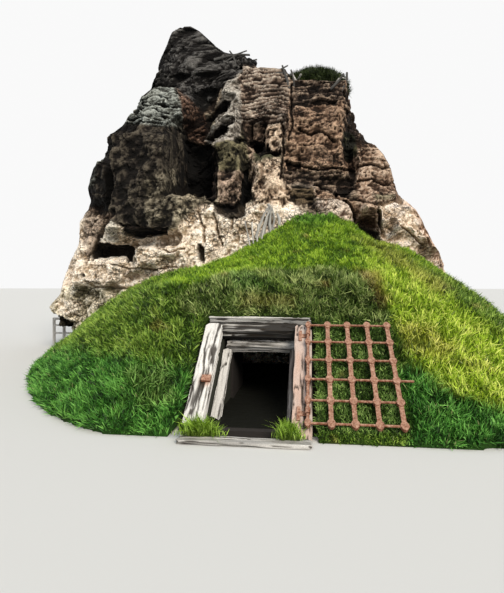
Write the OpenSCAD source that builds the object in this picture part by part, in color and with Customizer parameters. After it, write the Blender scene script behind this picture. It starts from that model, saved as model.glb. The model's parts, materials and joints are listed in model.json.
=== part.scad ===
// Turf house at the foot of a built-up rock crag. A low timber doorway lies back on the turf slope,
// and a forged iron lattice gate folds open beside it. The floor level is z = 0, the origin is the
// middle of the ground plan, and the front looks towards -Y.

/* [Mound] */
// Middle of the doorway, measured across the front
door_x = 350; // [250:10:450]
// Line where the front slope meets the ground
toe_y = -5215; // [-5280:5:-5150]
// Steepness of the front slope in degrees
slope_tilt = 39.2; // [36:0.1:42]
// Height of the turf brow above the doorway
brow_h = 1670; // [1580:10:1800]
// Height at which the turf meets the rock behind the door
crown_h = 3220; // [3000:10:3400]
// Left edge of the parallel middle strip of turf
strip_left = -1150; // [-1300:10:-1000]
// Right edge of the parallel middle strip of turf
strip_right = 2250; // [2200:10:2400]
// Reach of the left flank beyond the strip
left_reach = 4100; // [4000:10:4300]
// Reach of the right flank beyond the strip
right_reach = 3790; // [3500:10:3900]

/* [Crag] */
// Middle of the crag across the front
crag_x = -650; // [-800:10:-500]
// Plane through the middle of the crag from front to back
crag_y = 2200; // [2100:10:2300]
// Half of the crag's width at the ground
crag_half_w = 5350; // [5200:10:5500]
// Depth of the crag in front of its middle plane at the ground
crag_front_d = 2600; // [2450:10:2750]
// Depth of the crag behind its middle plane at the ground
crag_back_d = 3230; // [3000:10:3400]
// Height of the tower
tower_h = 8400; // [8250:10:8550]
// Depth of the loose relief on the rock faces
relief = 60; // [40:5:90]
// Depth of the broken blocks on the back of the crag
back_relief = 150; // [80:5:180]

/* [Doorway] */
// Clear width between the outer posts
door_w = 980; // [900:10:1050]
// Width of the left outer post
left_post_w = 240; // [200:5:280]
// Width of the right outer post
right_post_w = 230; // [210:5:250]
// Thickness of the outer posts, square to the slope
post_t = 150; // [120:5:180]
// Length of the outer posts up the slope
post_l = 1820; // [1760:5:1860]
// Height of the lintel's face, up the slope
lintel_w = 170; // [140:5:190]
// Thickness of the cap board
cap_t = 36; // [25:1:50]
// Depth of the inner frame below the outer frame
inner_sink = 300; // [260:5:340]
// Width of the threshold board
threshold_w = 190; // [150:5:220]
// Height of the threshold board
threshold_h = 55; // [40:5:70]
// Width of the inner posts
inner_post_w = 120; // [100:5:140]
// Width of the passage between its linings
passage_w = 840; // [780:10:900]
// Thickness of the lining boards
board_t = 40; // [30:1:50]
// Line where the passage opens into the chamber
chamber_y = -2600; // [-2700:10:-2500]
// Height of the chamber's front wall
chamber_front_h = 1330; // [1250:10:1400]
// Left wall of the chamber, measured from the middle of the doorway
chamber_left = 950; // [850:10:1050]
// Rise of the chamber roof towards the rock, per unit of depth
roof_pitch = 0.2; // [0.16:0.01:0.22]

/* [Gate] */
// Spacing of the uprights
gate_pitch_x = 254; // [240:1:265]
// Spacing of the crossbars
gate_pitch_s = 302; // [290:1:310]
// Diameter of the hinge upright
upright_d = 38; // [34:1:42]
// Width of the other uprights, which are flat bars
upright_w = 50; // [44:1:56]
// Thickness of the flat uprights
upright_t = 22; // [18:1:26]
// Diameter of the crossbars
crossbar_d = 28; // [22:1:30]
// Width of the pierced eyes forged in the flat uprights
eye_w = 92; // [84:1:98]
// Width of the pierced eyes forged in the hinge upright
hinge_eye_w = 70; // [60:1:74]
// Thickness of the pierced eyes
eye_t = 44; // [40:1:46]
// Distance from the inner edge of the right post to the hinge upright's middle
hinge_offset = 178; // [172:1:184]
// Height of the gate's plane above the posts' faces
gate_lift = 52; // [50:1:60]
// Thickness of the iron in the hinge eyes
iron_t = 12; // [8:1:14]

/* [Hidden] */
$fn = 48;

// Running clearance of the gate in its hinge eyes and of bars in their eyes
fit = 0.4;
// Clearance of round timbers at their seats
seat = 0.3;
// Least thickness of the turf at its toe
toe_lip = 30;
// Clearance between the gate and the turf it lies over
turf_clear = 12;

gate_cols = 5;
gate_rows = 6;
first_row_s = 220;
post_face_l = door_x - 20 - door_w / 2;
post_face_r = door_x - 10 + door_w / 2;
hinge_x = post_face_r + hinge_offset;
passage_l = door_x + 10 - passage_w / 2;
passage_r = door_x + 10 + passage_w / 2;
cheek_l = post_face_l - left_post_w - 60;
cheek_r = post_face_r + right_post_w + 40;
chamber_x = door_x - chamber_left;
lintel_s = post_l - 90;
lintel_top_s = lintel_s + lintel_w;
cap_top_s = lintel_top_s + cap_t;
// The line behind the cap board where the turf brow starts
brow_s = cap_top_s + 4;

// Height of the posts' face plane over a point of the ground plan
function slope_z(y) = (y - toe_y) * tan(slope_tilt);
// Ground plan place and height of a point s up the slope and n out of it
function slope_py(s, n) = toe_y + s * cos(slope_tilt) - n * sin(slope_tilt);
function slope_pz(s, n) = s * sin(slope_tilt) + n * cos(slope_tilt);

module on_slope() {
    translate([0, toe_y, 0]) rotate([slope_tilt, 0, 0]) children();
}

// Solid between two grids of points with the same rows and columns
module slab(upper, lower) {
    rows = len(upper);
    cols = len(upper[0]);
    n = rows * cols;
    function id(r, c) = r * cols + c;
    rim = concat([for (c = [0:cols - 1]) id(0, c)], [for (r = [1:rows - 1]) id(r, cols - 1)],
        [for (c = [cols - 2:-1:0]) id(rows - 1, c)], [for (r = [rows - 2:-1:1]) id(r, 0)]);
    m = len(rim);
    faces = concat(
        [for (r = [0:rows - 2], c = [0:cols - 2]) [id(r, c), id(r + 1, c), id(r + 1, c + 1)]],
        [for (r = [0:rows - 2], c = [0:cols - 2]) [id(r, c), id(r + 1, c + 1), id(r, c + 1)]],
        [for (r = [0:rows - 2], c = [0:cols - 2])
            [n + id(r, c), n + id(r + 1, c + 1), n + id(r + 1, c)]],
        [for (r = [0:rows - 2], c = [0:cols - 2])
            [n + id(r, c), n + id(r, c + 1), n + id(r + 1, c + 1)]],
        [for (i = [0:m - 1]) [rim[i], rim[(i + 1) % m], n + rim[(i + 1) % m]]],
        [for (i = [0:m - 1]) [rim[i], n + rim[(i + 1) % m], n + rim[i]]]);
    flat = function(g) [for (row = g, p = row) p];
    polyhedron(points = concat(flat(upper), flat(lower)), faces = faces, convexity = 8);
}

// Solid through closed rings of the same number of points, from the lowest ring up
module loft(rings) {
    k = len(rings);
    m = len(rings[0]);
    polyhedron(
        points = [for (ring = rings, p = ring) p],
        faces = concat(
            [[for (j = [0:m - 1]) j]],
            [[for (j = [m - 1:-1:0]) (k - 1) * m + j]],
            [for (i = [0:k - 2], j = [0:m - 1])
                [i * m + j, (i + 1) * m + j, (i + 1) * m + (j + 1) % m]],
            [for (i = [0:k - 2], j = [0:m - 1])
                [i * m + j, (i + 1) * m + (j + 1) % m, i * m + (j + 1) % m]]),
        convexity = 8);
}

// Left foot of the crag, where it steps in under an overhang for the framing
foot_x = -5450;
// Crag outline. Each list pairs a height with the place of the rock's edge there.
left_edge = [[0, foot_x], [780, foot_x], [900, -6150], [1250, -5930], [1810, -5740], [2320, -5480],
    [2930, -5290], [3630, -5060], [3990, -4980], [4200, -5080], [4600, -4980], [4720, -4780],
    [5100, -4620], [5280, -4500], [5780, -4450], [6180, -3960], [6660, -3600], [6950, -3200],
    [7200, -3050]];
right_edge = [[0, 4650], [1530, 4560], [2100, 4400], [2740, 4230], [2850, 3950], [3490, 3640],
    [3770, 3560], [3980, 3220], [4750, 3060], [5310, 2700], [5480, 2340], [6370, 2030],
    [6700, 1960]];
// Half depth of the rock in front of the middle plane at each height
front_depth = [[0, crag_front_d], [3200, crag_front_d - 60], [4200, 2250], [5200, 1950],
    [6400, 1450], [7300, 1000], [tower_h, 520]];
// Half depth of the rock behind the middle plane at each height
back_depth = [[0, crag_back_d], [2500, 2900], [4200, 2350], [5200, 2000], [6400, 1350],
    [7300, 950], [tower_h, 500]];
// Thickness of the rock's thin edge on each side of the middle plane
edge_t = 260;

// Where the turf meets the rock: an ellipse in plan, taken at the turf pieces' own columns, so
// that turf and rock share each straight stretch between them
function half_w(x) = x < crag_x ? crag_x - foot_x + 40 : crag_half_w;
function rock_ellipse_y(x) =
    crag_y - crag_front_d * sqrt(max(0, 1 - pow((x - crag_x) / half_w(x), 2)));
function spread(a, b, n) = [for (i = [0:n]) a + (b - a) * i / n];
flank_cols = 14;
flank_rows = 9;
roof_cols = 8;
end_angle_l = -82;
end_angle_r = 88;
function rock_angle(x) = asin((x - crag_x) / half_w(x));
function rock_x(side, u) =
    let (from = rock_angle(side < 0 ? strip_left : strip_right),
        to = side < 0 ? end_angle_l : end_angle_r)
    crag_x + half_w(crag_x + side) * sin(from + (to - from) * u);
line_x = concat([for (i = [flank_cols:-1:1]) rock_x(-1, i / flank_cols)],
    spread(strip_left, chamber_x, 3),
    [for (i = [1:roof_cols]) spread(chamber_x, strip_right, roof_cols)[i]],
    [for (i = [1:flank_cols]) rock_x(1, i / flank_cols)]);
rock_line = [for (x = line_x) [x, rock_ellipse_y(x)]];
function rock_line_y(x) = x < line_x[0] || x > line_x[len(line_x) - 1]
    ? rock_ellipse_y(x) : lookup(x, rock_line);
// Each pair is a place across and the turf's height there as a share of the crown's
turf_line = [[-5450, 0.03], [-5000, 0.1], [-4170, 0.286], [-2700, 0.481], [-1400, 0.624],
    [-580, 0.72], [80, 0.848], [830, 1], [1770, 0.98], [2220, 0.857], [3060, 0.73], [4060, 0.556],
    [4500, 0.41], [4700, 0.31]];
function turf_line_z(x) = crown_h * lookup(x, turf_line);

// Broken blocks of the front, each with a flat face: middle x, half width, middle z, half height,
// place of the face at its middle, lean of the face across and up, and lean of its sides
blocks = [
    [-4700, 850, 850, 800, 650, -0.25, 0, 0],
    [-3700, 950, 1980, 340, -40, -0.25, 0, 0],
    [-4330, 480, 2780, 560, 330, -0.5, 0, 0],
    [-2050, 800, 2130, 580, -520, 0.1, 0.1, 0],
    [-2600, 700, 2690, 150, 150, 0, 0, 0],
    [-3500, 560, 2480, 150, 600, 0, 0, 0],
    [-3470, 290, 2850, 280, -230, 0, 0.2, 0.2],
    [-4050, 360, 4180, 560, 350, -0.7, 0, 0],
    [-2500, 880, 3970, 1150, -600, 0.08, 0.02, 0],
    [-2330, 700, 5850, 760, 260, 0.1, 0.9, -0.3],
    [-2100, 1000, 6900, 330, 1150, 0, 0.2, 0],
    [-1640, 360, 4600, 900, 1050, 0, 0, 0],
    [-1500, 260, 5900, 520, 900, 0, 0.2, 0.25],
    [-690, 380, 4150, 820, -120, 0.15, 0.1, 0],
    [-780, 270, 5900, 800, 380, 0, 0.35, 0],
    [-1130, 120, 5790, 240, 900, 0, 0, 1.1],
    [-1080, 130, 5530, 250, 420, 0, 0, 1.1],
    [-1100, 120, 5230, 230, 900, 0, 0, 1.1],
    [0, 660, 6200, 760, 680, 0, 0.3, 0],
    [-270, 270, 5150, 300, 820, 0, 0, 0],
    [200, 190, 4950, 360, 330, 0, 0, 0],
    [-330, 90, 4150, 700, 350, 0, 0, 0],
    [110, 340, 3900, 620, -230, 0, 0.12, 0],
    [1150, 720, 4870, 840, 120, 0, 0.12, 0],
    [1250, 700, 6250, 520, 780, 0, 0.3, 0],
    [890, 310, 3670, 250, 0, 0, 0, 0],
    [2030, 190, 4900, 440, 950, 0, 0, 0],
    [2480, 470, 4200, 620, 280, 0.3, 0.15, 0],
    [1850, 700, 3290, 260, -270, 0, 0.2, 0],
    [2310, 290, 2860, 240, 380, 0, 0, 0],
    [3250, 760, 2600, 960, 120, 0.45, 0.12, 0]
];
// Width over which a block's face turns into its side
block_edge = 150;
// Least distance of the rock behind the turf's own line
rock_gap = 0.4;
function ramp(v) = min(1, max(0, v));
function block_share(b, x, z) =
    ramp(0.5 + min(b[1] - abs(x - b[0] - b[7] * (z - b[2])), b[3] - abs(z - b[2])) / block_edge);
function block_face(b, x, z) = b[4] + b[5] * (x - b[0]) + b[6] * (z - b[2]);
function with_blocks(y, x, z, i = 0) = i == len(blocks) ? y
    : with_blocks(y + (block_face(blocks[i], x, z) - y) * block_share(blocks[i], x, z), x, z, i + 1);
// Broken relief from a few waves that never line up
function rough(x, z, seed) = relief * (sin(x / 3.1 + z / 7.3 + seed) * cos(z / 2.9 - x / 11 + seed)
    + 0.6 * sin(x / 1.3 - z / 1.9 + 2 * seed));
function rock_mid(z) = (lookup(z, left_edge) + lookup(z, right_edge)) / 2;
function rock_half(z) = (lookup(z, right_edge) - lookup(z, left_edge)) / 2;
function bow(x, z) = sqrt(max(0, 1 - pow((x - rock_mid(z)) / rock_half(z), 2)));
function front_free(x, z) = min(crag_y - edge_t,
    with_blocks(crag_y - lookup(z, front_depth) * bow(x, z), x, z) + rough(x, z, 0));
// Height above the turf up to which the rock stays behind its line
turf_margin = 450;
function front_y(x, z) = z < turf_line_z(x) + turf_margin
    ? min(crag_y - edge_t / 2, max(front_free(x, z), rock_line_y(x) + rock_gap))
    : front_free(x, z);
// Broken blocks of the back, each about a metre across
function back_block(x, z) =
    let (row = floor(z / 820), column = floor(x / 1050 + 0.37 * row))
    sin(127 * row + 211 * column) + 0.6 * sin(90 * (z / 820 - row));
function back_y(x, z) = crag_y + max(edge_t, bow(x, z) * (lookup(z, back_depth)
    - back_relief * 1.6 + back_relief * back_block(x, z) + rough(x, z, 140)));

// One rock mass from x0 to x1 and z0 to z1, in front of the middle plane or behind it.
// Where the crag is narrower than that, the mass ends at the crag's own edge.
module rock_mass(x0, x1, z0, z1, across, up, front = true) {
    loft([for (k = [0:up])
        let (z = z0 + (z1 - z0) * k / up,
            a = max(x0, lookup(z, left_edge)),
            b = min(x1, lookup(z, right_edge)),
            xs = [for (i = [0:across]) a + (b - a) * i / across])
        front
            ? concat([for (x = xs) [x, front_y(x, z), z]], [[b, crag_y, z], [a, crag_y, z]])
            : concat([[a, crag_y, z], [b, crag_y, z]],
                [for (i = [across:-1:0]) [xs[i], back_y(xs[i], z), z]])]);
}

// Cuts between the rock masses
cleft_x = -1750;
centre_x = 550;
boulder_x = 2750;
ledge_z = 1600;
band_z = 2900;
facet_z = 5100;
tower_z = 6600;
centre_z = 3250;
shoulder_z = 3750;
crown_z = 5200;
crown_top = 6650;
strata_top = 6950;

module foot_rock() {
    color("#8f7a66") rock_mass(-9000, cleft_x, 0, ledge_z, 18, 11);
}
module pale_band_rock() {
    color("#b9a38d") rock_mass(-9000, cleft_x, ledge_z, band_z, 20, 9);
}
module overhang_rock() {
    color("#4a3f37") rock_mass(-9000, cleft_x, band_z, facet_z, 18, 13);
}
module facet_rock() {
    color("#9b9388") rock_mass(-9000, cleft_x, facet_z, tower_z, 15, 9);
}
module tower_rock() {
    color("#463a32") rock_mass(-9000, cleft_x, tower_z, strata_top, 9, 3);
    color("#463a32") rock_mass(-9000, cleft_x, tower_z, strata_top, 6, 2, false);
}
// Blunt rock on top of a mass, between a left and a right side given like the crag's outline
module blunt_rock(z0, z1, left, right, middle, depth, top_depth, across, levels) {
    loft([for (k = [0:levels])
        let (z = z0 + (z1 - z0) * k / levels,
            a = lookup(z, left),
            b = lookup(z, right),
            xs = spread(a, b, across),
            swell = function(x) pow(max(0.02, 1 - pow(abs(2 * x - a - b) / (b - a), 3)), 0.5),
            half = depth + (top_depth - depth) * k / levels)
        concat([for (x = xs) [x, middle - half * swell(x) - 0.5 * rough(x, z, 30), z]],
            [for (i = [across:-1:0]) [xs[i], middle + half * swell(xs[i]) + 60, z]])]);
}
// Sides of the tower, where it stands free above the strata
tower_left = [[strata_top, -3150], [7400, -2950], [7950, -2660], [8250, -2430], [tower_h, -2280]];
tower_right = [[strata_top, -900], [7400, -1000], [7670, -1340], [7940, -1620], [8240, -1850],
    [tower_h, -1960]];
module tower_top_rock() {
    color("#3d332c")
        blunt_rock(strata_top, tower_h, tower_left, tower_right, crag_y - 250, 900, 420, 10, 8);
}
// Broken ledge beside the tower
ledge_top = strata_top + 450;
module ledge_rock() {
    color("#463a32") blunt_rock(strata_top, ledge_top, [[strata_top, -880], [ledge_top, -800]],
        [[strata_top, -260], [ledge_top, -330]], crag_y - 700, 380, 280, 5, 3);
}
module centre_base_rock() {
    color("#a08872") rock_mass(cleft_x, centre_x, 0, centre_z, 12, 12);
}
module centre_rock() {
    color("#8d7460") rock_mass(cleft_x, centre_x, centre_z, facet_z, 15, 12);
}
module strata_rock() {
    color("#6f5a4a") rock_mass(cleft_x, centre_x, facet_z, strata_top, 15, 12);
}
module right_base_rock() {
    color("#a08872") rock_mass(centre_x, boulder_x, 0, shoulder_z, 12, 16);
}
module right_boulder() {
    color("#b08a68") rock_mass(boulder_x, 9000, 0, shoulder_z, 10, 18);
}
module right_shoulder_rock() {
    color("#a68467") rock_mass(centre_x, 9000, shoulder_z, crown_z, 15, 9);
}
module crown_rock() {
    color("#9a6f52") rock_mass(centre_x, 9000, crown_z, crown_top, 11, 9);
}
module back_left_rock() {
    color("#75634f") rock_mass(-9000, cleft_x, 0, tower_z, 12, 20, false);
}
module back_right_rock() {
    color("#7d6a57") rock_mass(cleft_x, 9000, 0, crown_top, 18, 20, false);
}

// Turf on the crag's crown, a low dome on the flat top
module crown_turf() {
    rings = 5;
    around = 16;
    cx = 1245;
    cy = crag_y - 450;
    half = 680;
    rise = 620;
    color("#4d5a2a") loft([for (k = [0:rings])
        let (f = k / rings, r = half * sqrt(1 - f * f * 0.92))
        [for (j = [0:around - 1])
            let (t = 360 * j / around)
            [cx + r * cos(t), cy + 0.75 * r * sin(t), crown_top + rise * f]]]);
}
// Weathered stub posts, rail and bent pole at the edge of the crown
module crown_poles() {
    pole_d = 60;
    log_d = 90;
    hoop_r = 130;
    color("#6b5a4a") {
        translate([1932, crag_y - 300, crown_top + seat]) cylinder(h = 330, d = pole_d);
        translate([-230, crag_y - 1000, strata_top + seat + log_d / 2]) rotate([0, 90, 0])
            cylinder(h = 640, d = log_d);
        for (side = [-1, 1])
            translate([700 - side * 60, crag_y - 900 + side * 40, crown_top + seat + pole_d / 2 * sin(28)])
                rotate([0, side * 28, 0]) cylinder(h = 380, d = pole_d);
        translate([1790, crag_y - 1020, crown_top + seat]) rotate([90, 0, 0])
            rotate_extrude(angle = 180) translate([hoop_r, 0]) circle(d = 34);
    }
}

// Turf surface
lintel_y = slope_py(brow_s, 0);
brow_y = lintel_y + 330;
function strip_z(x, y) = y <= lintel_y ? slope_z(y) - turf_clear / cos(slope_tilt)
    : lookup(y, [[lintel_y, slope_z(lintel_y) - turf_clear / cos(slope_tilt)],
        [brow_y, brow_h], [rock_line_y(x), turf_line_z(x)]]);
function strip_top(x, y) = max(toe_lip, strip_z(x, y));
// Signed power that keeps the direction of a sine or cosine
function spow(v, e) = sign(v) * pow(abs(v), e);
// Fan of lines from the toe to the rock, for the flanks
flank_turn_l = 90;
flank_turn_r = 101;
function toe_point(side, u) = side < 0
    ? [strip_left - left_reach * spow(sin(flank_turn_l * u), 1.35),
        1100 - (1100 - toe_y) * spow(cos(flank_turn_l * u), 1.35)]
    : [strip_right + right_reach * spow(sin(flank_turn_r * u), 0.9),
        800 - (800 - toe_y) * spow(cos(flank_turn_r * u), 0.9)];
function rock_point(side, u) = let (x = rock_x(side, u)) [x, rock_ellipse_y(x)];
function flank_height(side, u) = side < 0
    ? turf_line_z(rock_point(side, u)[0])
    : (u < 0.7 ? turf_line_z(rock_point(side, u)[0]) : lookup(u, [[0.7, 1180], [0.85, 700], [1, 60]]));
// Height along a fan line, with the brow fading away from the door
function fan_top(side, u, t) =
    let (h = flank_height(side, u),
        keep = max(0, 1 - 2.2 * u),
        x = side < 0 ? strip_left : strip_right,
        y = toe_y + (rock_line_y(x) - toe_y) * t)
    max(toe_lip, keep * strip_top(x, y) * (t == 1 ? h / turf_line_z(x) : 1)
        + (1 - keep) * h * pow(t, 0.92) + turf_lumps * lump(u, t));
// Hummocks of the flanks, which die away towards the flanks' edges
turf_lumps = 60;
function lump(u, t) = ramp(3 * u) * ramp(3 * (1 - u)) * ramp(4 * t)
    * ramp(5 * (1 - t)) * sin(900 * u + 220 * t) * cos(700 * t - 160 * u);
module flank(side) {
    grid = [for (k = [0:flank_rows]) let (t = k / flank_rows)
        [for (i = [0:flank_cols]) let (u = (side < 0 ? flank_cols - i : i) / flank_cols,
            a = toe_point(side, u), b = rock_point(side, u), p = a + (b - a) * t)
            [p[0], p[1], fan_top(side, u, t)]]];
    slab(grid, [for (row = grid) [for (p = row) [p[0], p[1], 0]]]);
}
module left_flank() {
    color("#4f7a1e") flank(-1);
}
module right_flank() {
    color("#5d8a24") flank(1);
}
// Part of the middle strip between two lines across and two lines along it
module strip_bank(xs, ys) {
    grid = [for (y = ys) [for (x = xs) [x, y, strip_top(x, y)]]];
    slab(grid, [for (row = grid) [for (p = row) [p[0], p[1], 0]]]);
}
// Ground plan points between the chamber's front line and the rock
function rear_grid(xs, n) =
    [for (k = [0:n]) [for (x = xs) [x, chamber_y + (rock_line_y(x) - chamber_y) * k / n]]];
// Line at which the slope leaves the upright edge of its toe
lip_y = toe_y + (toe_lip + turf_clear / cos(slope_tilt)) / tan(slope_tilt);
bank_lines = concat([toe_y], spread(lip_y, lintel_y, 4), spread(brow_y, chamber_y, 3));
module front_left_bank() {
    color("#4f7a1e") strip_bank(spread(strip_left, cheek_l, 3), bank_lines);
}
module chamber_left_bank() {
    grid = [for (row = rear_grid(spread(strip_left, chamber_x, 3), 4))
        [for (p = row) [p[0], p[1], strip_top(p[0], p[1])]]];
    color("#5b8422") slab(grid, [for (row = grid) [for (p = row) [p[0], p[1], 0]]]);
}
module front_right_bank() {
    color("#5d8a24") strip_bank(spread(cheek_r, strip_right, 4), bank_lines);
}

// Passage and chamber
// The passage roof lies just above the inner log
log_s = lintel_s - 74;
log_w = 135;
log_t = 125;
// The linings start just behind the inner log
passage_front_y = slope_py(log_s + log_w, -inner_sink - log_t) + 2;
passage_h = slope_pz(log_s + log_w, -inner_sink) + 1;
// The passage roof starts just behind the lintel
roof_front_y = slope_py(lintel_top_s, -post_t - 50) + 4;
roof_t = 60;
function chamber_roof_z(y) = chamber_front_h + (y - chamber_y) * roof_pitch;
rafter_d = 120;

// Earth beside and behind the posts, cut to the shape of the frame
module cheek(x0, x1, x2) {
    top_z = passage_h;
    function low_s(n) = -n * cos(slope_tilt) / sin(slope_tilt);
    function top_s(n) = (top_z - n * cos(slope_tilt)) / sin(slope_tilt);
    function outline(n) = [[slope_py(low_s(n), n), 0], [chamber_y, 0], [chamber_y, top_z],
        [slope_py(top_s(n), n), top_z]];
    module prism(a, b, n) {
        translate([min(a, b), 0, 0]) rotate([90, 0, 90]) linear_extrude(abs(b - a))
            polygon(outline(n));
    }
    prism(x0, x1, -post_t - seat);
    prism(x1, x2, -inner_sink - max(inner_post_w, log_t) - seat);
}
module doorway_cheeks() {
    color("#4a4a22") {
        cheek(cheek_l, post_face_l - 10, passage_l - board_t);
        cheek(cheek_r, post_face_r + 50, passage_r + board_t);
    }
}
module lining(x) {
    boards = 7;
    gap = 3;
    w = (chamber_y - passage_front_y) / boards;
    for (i = [0:boards - 1])
        translate([x, passage_front_y + w * i, 0]) cube([board_t, w - gap, passage_h]);
}
module passage_linings() {
    color("#4d443b") {
        lining(passage_l - board_t);
        lining(passage_r);
    }
}
module passage_roof() {
    color("#584c40") translate([cheek_l, roof_front_y, passage_h])
        cube([cheek_r - cheek_l, chamber_y - roof_front_y, roof_t]);
}
// Turf over the doorway: it lies on the cap board's upper edge and on the passage roof
module brow_turf() {
    y_a = slope_py(cap_top_s, 0) + 6;
    y_b = slope_py(cap_top_s, cap_back);
    xs = spread(cheek_l, cheek_r, 4);
    // Each line across pairs its place with the height of the turf's underside there
    lines = concat([[y_a, slope_pz(cap_top_s, 0) - 2], [y_b + 2, slope_pz(cap_top_s, cap_back) + 2],
        [y_b + 8, passage_h + roof_t]],
        [for (y = spread(brow_y, chamber_y, 3)) [y, passage_h + roof_t]]);
    upper = [for (l = lines) [for (x = xs) [x, l[0], max(l[1] + 12, strip_top(x, l[0]))]]];
    color("#557f20") slab(upper, [for (l = lines) [for (x = xs) [x, l[0], l[1]]]]);
}
module chamber_rafters() {
    n = 5;
    inset = 300;
    angle = atan(roof_pitch);
    span = strip_right - chamber_x - 2 * inset;
    color("#6a5a48") for (i = [0:n - 1]) {
        x = chamber_x + inset + span * i / (n - 1);
        translate([x, chamber_y, chamber_front_h]) rotate([angle, 0, 0])
            translate([0, 30, -rafter_d / 2 - seat]) rotate([-90, 0, 0])
            cylinder(h = (rock_line_y(x) - chamber_y) / cos(angle) - 60, d = rafter_d);
    }
}
module chamber_roof_boards() {
    lower = [for (row = rear_grid(spread(chamber_x, strip_right, roof_cols), 1))
        [for (p = row) [p[0], p[1], chamber_roof_z(p[1])]]];
    upper = [for (row = lower) [for (p = row) [p[0], p[1], p[2] + roof_t]]];
    color("#584c40") slab(upper, lower);
}
module roof_turf() {
    plan = rear_grid(spread(chamber_x, strip_right, roof_cols), 5);
    lower = [for (row = plan) [for (p = row) [p[0], p[1], chamber_roof_z(p[1]) + roof_t + seat]]];
    upper = [for (row = plan) [for (p = row) [p[0], p[1], strip_top(p[0], p[1])]]];
    color("#69982a") slab(upper, lower);
}

// Trodden earth floor of the passage and the chamber
module earth_floor() {
    floor_t = 20;
    inset = 25 + seat;
    front = toe_y + 120 + sill_w + inset;
    color("#3a3022") {
        translate([passage_l + inset, front, 0])
            cube([passage_w - 2 * inset, chamber_y - front + inset, floor_t]);
        translate([chamber_x + inset, chamber_y + inset, 0])
            cube([strip_right - chamber_x - 2 * inset, crag_y - crag_front_d - chamber_y - 3 * inset,
                floor_t]);
    }
}

// Timber doorway, drawn on the slope
module post(x, w, chamfer) {
    difference() {
        on_slope() translate([x, -400, -post_t]) linear_extrude(post_t)
            polygon([[0, 0], [w, 0], [w, post_l + 400 - chamfer], [w - chamfer, post_l + 400],
                [chamfer, post_l + 400], [0, post_l + 400 - chamfer]]);
        translate([x - 10, toe_y - 1000, -1000]) cube([w + 20, 2000, 1000]);
    }
}
module left_post() {
    color("#b5b0a6") difference() {
        post(post_face_l - left_post_w, left_post_w, 45);
        lintel_seat();
    }
}
module right_post() {
    color("#a8876a") difference() {
        post(post_face_r, right_post_w, 15);
        lintel_seat();
    }
}
lap = 60;
// Place of the back of the lintel and of the cap board, square to the slope
lintel_back = -post_t - 50;
cap_back = -post_t - 60;
lintel_l = post_face_l - left_post_w + 8;
lintel_r = post_face_r + right_post_w + 8;
// Half lap in the back of each post that the lintel lies in
module lintel_seat() {
    on_slope() translate([lintel_l - 20, lintel_s - 1, -post_t - 60])
        cube([lintel_r - lintel_l + 40, lintel_w + 20, post_t + 60 - lap + 1]);
}
module lintel() {
    color("#a9a59b") on_slope() translate([lintel_l, lintel_s, lintel_back])
        cube([lintel_r - lintel_l, lintel_w, -lintel_back - lap]);
}
module cap_board() {
    color("#c4c0b4") on_slope() translate([lintel_l - 10, lintel_top_s, cap_back])
        cube([lintel_r - lintel_l + 20, cap_t, 20 - cap_back]);
}
module inner_post(x) {
    difference() {
        on_slope() translate([x, 0, -inner_sink - inner_post_w])
            cube([inner_post_w, log_s - 1, inner_post_w]);
        translate([x - 10, toe_y - 1000, -1000]) cube([inner_post_w + 20, 3000, 1000]);
    }
}
module left_inner_post() {
    color("#9c968a") inner_post(post_face_l - 5);
}
module right_inner_post() {
    color("#8c8478") inner_post(passage_r - 25);
}
module inner_log() {
    color("#8f887b") on_slope() translate([post_face_l - 5, log_s, -inner_sink - log_t])
        cube([passage_r - post_face_l + 100, log_w, log_t]);
}
module threshold_board() {
    color("#c9bfae") translate([lintel_l, toe_y - threshold_w, 0])
        cube([lintel_r - lintel_l, threshold_w, threshold_h]);
}
sill_w = 110;
module inner_sill() {
    color("#5a4a3a") translate([post_face_l + seat, toe_y + 120, 0])
        cube([post_face_r - post_face_l - 2 * seat, sill_w, 70]);
}

// Iron gate, drawn open on the slope
function row_s(k) = first_row_s + gate_pitch_s * k;
upright_len = gate_pitch_s * (gate_rows - 1) + 60;
hinge_rows = [0, 4];
function hinge_s(k) = row_s(hinge_rows[k]) + gate_pitch_s / 2;
eye_band = 60;
eye_reach = 58;
// Outline of a forged eye, a soft lozenge
module eye_outline(w) {
    polygon([for (t = [0:30:330]) [w / 2 * spow(cos(t), 1.2), eye_reach * spow(sin(t), 1.2)]]);
}
// One upright with its forged eyes, each pierced for a crossbar. The hinge upright is round.
module gate_upright(i) {
    w = i == 0 ? hinge_eye_w : eye_w;
    difference() {
        union() {
            if (i == 0) translate([0, first_row_s - 30, 0]) rotate([-90, 0, 0])
                cylinder(h = upright_len, d = upright_d);
            else translate([-upright_w / 2, first_row_s - 30, -upright_t / 2])
                cube([upright_w, upright_len, upright_t]);
            for (k = [0:gate_rows - 1]) translate([0, row_s(k), -eye_t / 2])
                linear_extrude(eye_t) eye_outline(w);
            if (i == 0) for (k = [0:1]) translate([0, hinge_s(k) + eye_band / 2 + fit, 0])
                rotate([-90, 0, 0]) cylinder(h = 14, d = upright_d + 20);
        }
        for (k = [0:gate_rows - 1]) translate([-w, row_s(k), 0]) rotate([0, 90, 0])
            cylinder(h = 2 * w, d = crossbar_d + 2 * fit);
    }
}
module gate_uprights() {
    color("#9a5a45") on_slope() for (i = [0:gate_cols - 1])
        translate([hinge_x + gate_pitch_x * i, 0, gate_lift]) gate_upright(i);
}
module gate_crossbars() {
    inside = 3;
    color("#b07a62") on_slope() for (k = [0:gate_rows - 1])
        translate([hinge_x - hinge_eye_w / 2 + inside, row_s(k), gate_lift]) rotate([0, 90, 0])
            cylinder(h = gate_pitch_x * (gate_cols - 1) + (hinge_eye_w + eye_w) / 2,
                d = crossbar_d, $fn = 24);
}
latch_row = 2;
latch_reach = 190;
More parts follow.
